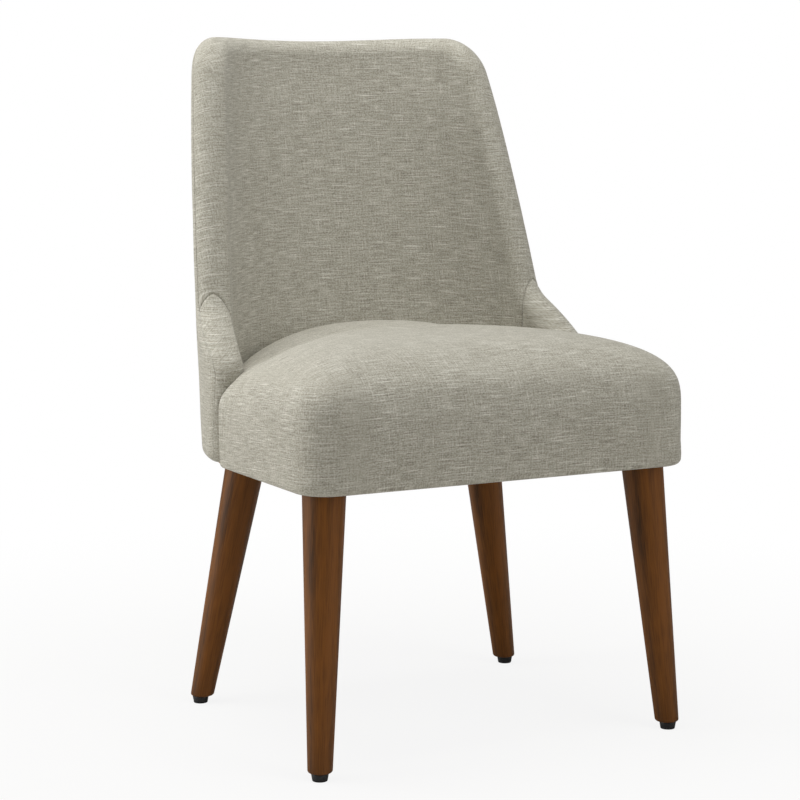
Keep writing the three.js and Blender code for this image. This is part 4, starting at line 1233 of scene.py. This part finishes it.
class CHAIR_OT_legs(bpy.types.Operator):
    """Four turned legs with their bores"""

    bl_idname = "chair.legs"
    bl_label = "Legs"

    def execute(self, context):
        legs = context.scene.chair_legs
        for corner in CORNERS:
            node = f"leg_{corner}"
            foot, top = centre_of(f"glide_base_{corner}"), centre_of(f"hanger_bolt_{corner}")
            points, grain = leg_surface(legs, foot, top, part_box(node)[1][2])
            leg = turned_piece(f"turned_{node}", points, grain_place=grain)
            finished(leg, BODY, "stained_wood", look_for("walnut_stained_hardwood"), node)
        return {"FINISHED"}


class CHAIR_OT_glides(bpy.types.Operator):
    """Moulded feet of the four levelling glides"""

    bl_idname = "chair.glides"
    bl_label = "Levelling glides"

    def execute(self, context):
        radius, level = glide_profile(context.scene.chair_legs)
        turn = np.linspace(0, 2 * np.pi, 65)
        for corner in CORNERS:
            x, y = centre_of(f"glide_base_{corner}")
            across, along = radius[:, None] * np.cos(turn), radius[:, None] * np.sin(turn)
            glide = turned_piece(f"moulded_glide_{corner}", stacked(x + across, y + along, level[:, None]))
            finished(glide, f"glide_{corner}", "nylon", look_for("moulded_nylon"), f"glide_base_{corner}")
        return {"FINISHED"}


def glide_profile(legs):
    """Radii and levels of a glide's moulded foot from the floor's middle to the pocket's: a straight flare
    between two quarter rounds."""
    bend = np.array([0.5, 1.05, 1.57])
    rise = np.array([0.33, 0.66, 1])
    low, high = GLIDE_EDGE, legs.glide_height - GLIDE_EDGE
    top, pocket = legs.glide_height, legs.glide_height - POCKET_DEPTH
    turned_in, turned_up = GLIDE_EDGE * (1 - np.sin(bend)), GLIDE_EDGE * (1 - np.cos(bend))
    radius = [[0, legs.glide_foot - GLIDE_EDGE], legs.glide_foot - turned_in]
    radius += [lerp(legs.glide_foot, legs.glide_top, rise), legs.glide_top - turned_up]
    radius += [[POCKET_RADIUS, POCKET_RADIUS, 0]]
    level = [[0, 0], turned_up, lerp(low, high, rise), top - turned_in, [top, pocket, pocket]]
    return np.concatenate(radius), np.concatenate(level)


class CHAIR_OT_dust_cover(bpy.types.Operator):
    """Black sheet stapled under the frame, with holes for the legs"""

    bl_idname = "chair.dust_cover"
    bl_label = "Dust cover"

    def execute(self, context):
        s, b, legs = context.scene.chair_seat, context.scene.chair_back, context.scene.chair_legs
        points = dust_sheet(s, b)
        sheet = sewn("dust_sheet", [patch(points, points * 0 - [0, 0, 1], points[..., :2])])
        cut_holes(sheet, legs.top_radius + 0.0009)
        areas = np.empty(len(sheet.data.polygons), np.float32)
        sheet.data.polygons.foreach_get("area", areas)
        thickened(sheet, 0.0005)
        rails = ["front_rail", "side_rail_left", "side_rail_right", "rear_rail"]
        rails += ["quarter_rail_left", "quarter_rail_right"]
        finished(sheet, BODY, "non_woven", look_for("non_woven_polypropylene"), "dust_cover")
        return {"FINISHED"}


def dust_sheet(s, b):
    """Sheet as rings drawn from the middle to its outline. It hangs between the rails by a shallow dome with
    short waves near its stapled edge, which lies 1 mm inside the hem."""
    level = b.frame - 0.0011
    inset = s.draw + s.hem + s.flare + 0.001
    x, y = seat_outline(s, b, level, inset)
    angle = np.linspace(-np.pi / 2, np.pi / 2, 121)
    reach = radius_at(angle, x, y, 0)
    part = np.concatenate([np.linspace(0, 0.9, 46)[:-1], np.linspace(0.9, 1, 9)])[:, None]
    half = stacked(part * reach * np.cos(angle), part * reach * np.sin(angle), level)
    points = np.concatenate([half, half[:, -2:0:-1] * [-1, 1, 1], half[:, :1]], axis=1)
    waves = 0.0006 * smooth(0.8, 0.93, part) * (1 + uneven(points, (0.03,), 2))
    points[..., 2] -= (0.0035 * (1 - part**2) ** 1.5 + waves) * smooth(1, 0.96, part)
    return points


def cut_holes(piece, radius):
    """Drops the quads over each leg's top and draws the edge left behind on to the hole's circle."""
    mesh = piece.data
    work = bmesh.new()
    work.from_mesh(mesh)
    for corner in CORNERS:
        x, y = centre_of(f"hanger_bolt_{corner}")
        near = {v for v in work.verts if (v.co.x - x) ** 2 + (v.co.y - y) ** 2 < radius**2}
        gone = [f for f in work.faces if not near.isdisjoint(f.verts)]
        bmesh.ops.delete(work, geom=gone, context="FACES")
        for vert in work.verts:
            away = np.array([vert.co.x - x, vert.co.y - y])
            if vert.is_boundary and np.hypot(*away) < radius + 0.012:
                away *= radius / np.hypot(*away)
                vert.co.x, vert.co.y = x + away[0], y + away[1]
    work.to_mesh(mesh)
    work.free()


class CHAIR_OT_frame_finishes(bpy.types.Operator):
    """Finishes of the frame's own parts: rails, blocks, deck, shell, bolts and inserts"""

    bl_idname = "chair.frame_finishes"
    bl_label = "Frame finishes"

    def execute(self, context):
        looks = {
            ("front_rail", "side_rail_", "rear_rail", "quarter_rail_", "corner_block_"): "bare_hardwood",
            ("seat_deck", "back_panel"): "veneered_plywood",
            ("back_bolt_", "back_insert_", "hanger_bolt_", "leg_nut_", "glide_stud_"): "zinc_plated_steel",
            ("foot_insert_",): "turned_brass",
        }
        for starts, look in looks.items():
            for name, piece in frame["nodes"].items():
                if name.startswith(starts):
                    piece.data.materials.clear()
                    piece.data.materials.append(look_for(look))
        return {"FINISHED"}


class CHAIR_PT_panel(bpy.types.Panel):
    """Lists the chair's sizes, colours and steps"""

    bl_idname = "CHAIR_PT_panel"
    bl_label = "Barrel dining chair"
    bl_space_type = "VIEW_3D"
    bl_region_type = "UI"
    bl_category = "Chair"

    def draw(self, context):
        for step in STEPS:
            self.layout.operator(step.bl_idname)
        for group in GROUPS:
            box = self.layout.box()
            values = getattr(context.scene, group)
            for name in values.bl_rna.properties.keys():
                if name not in ("rna_type", "name"):
                    box.prop(values, name)


GROUPS = {
    "chair_back": CHAIR_PG_back,
    "chair_seat": CHAIR_PG_seat,
    "chair_legs": CHAIR_PG_legs,
    "chair_finish": CHAIR_PG_finish,
}
STEPS = (
    CHAIR_OT_stage,
    CHAIR_OT_seat,
    CHAIR_OT_back,
    CHAIR_OT_legs,
    CHAIR_OT_glides,
    CHAIR_OT_dust_cover,
    CHAIR_OT_frame_finishes,
)


def register():
    for kind in (*GROUPS.values(), *STEPS, CHAIR_PT_panel):
        bpy.utils.register_class(kind)
    for name, kind in GROUPS.items():
        setattr(bpy.types.Scene, name, PointerProperty(type=kind))


def unregister():
    for name in GROUPS:
        delattr(bpy.types.Scene, name)
    for kind in (CHAIR_PT_panel, *reversed(STEPS), *GROUPS.values()):
        bpy.utils.unregister_class(kind)


def main():
    register()
    for step in STEPS:
        group, name = step.bl_idname.split(".")
        getattr(getattr(bpy.ops, group), name)()


if __name__ == "__main__":
    main()
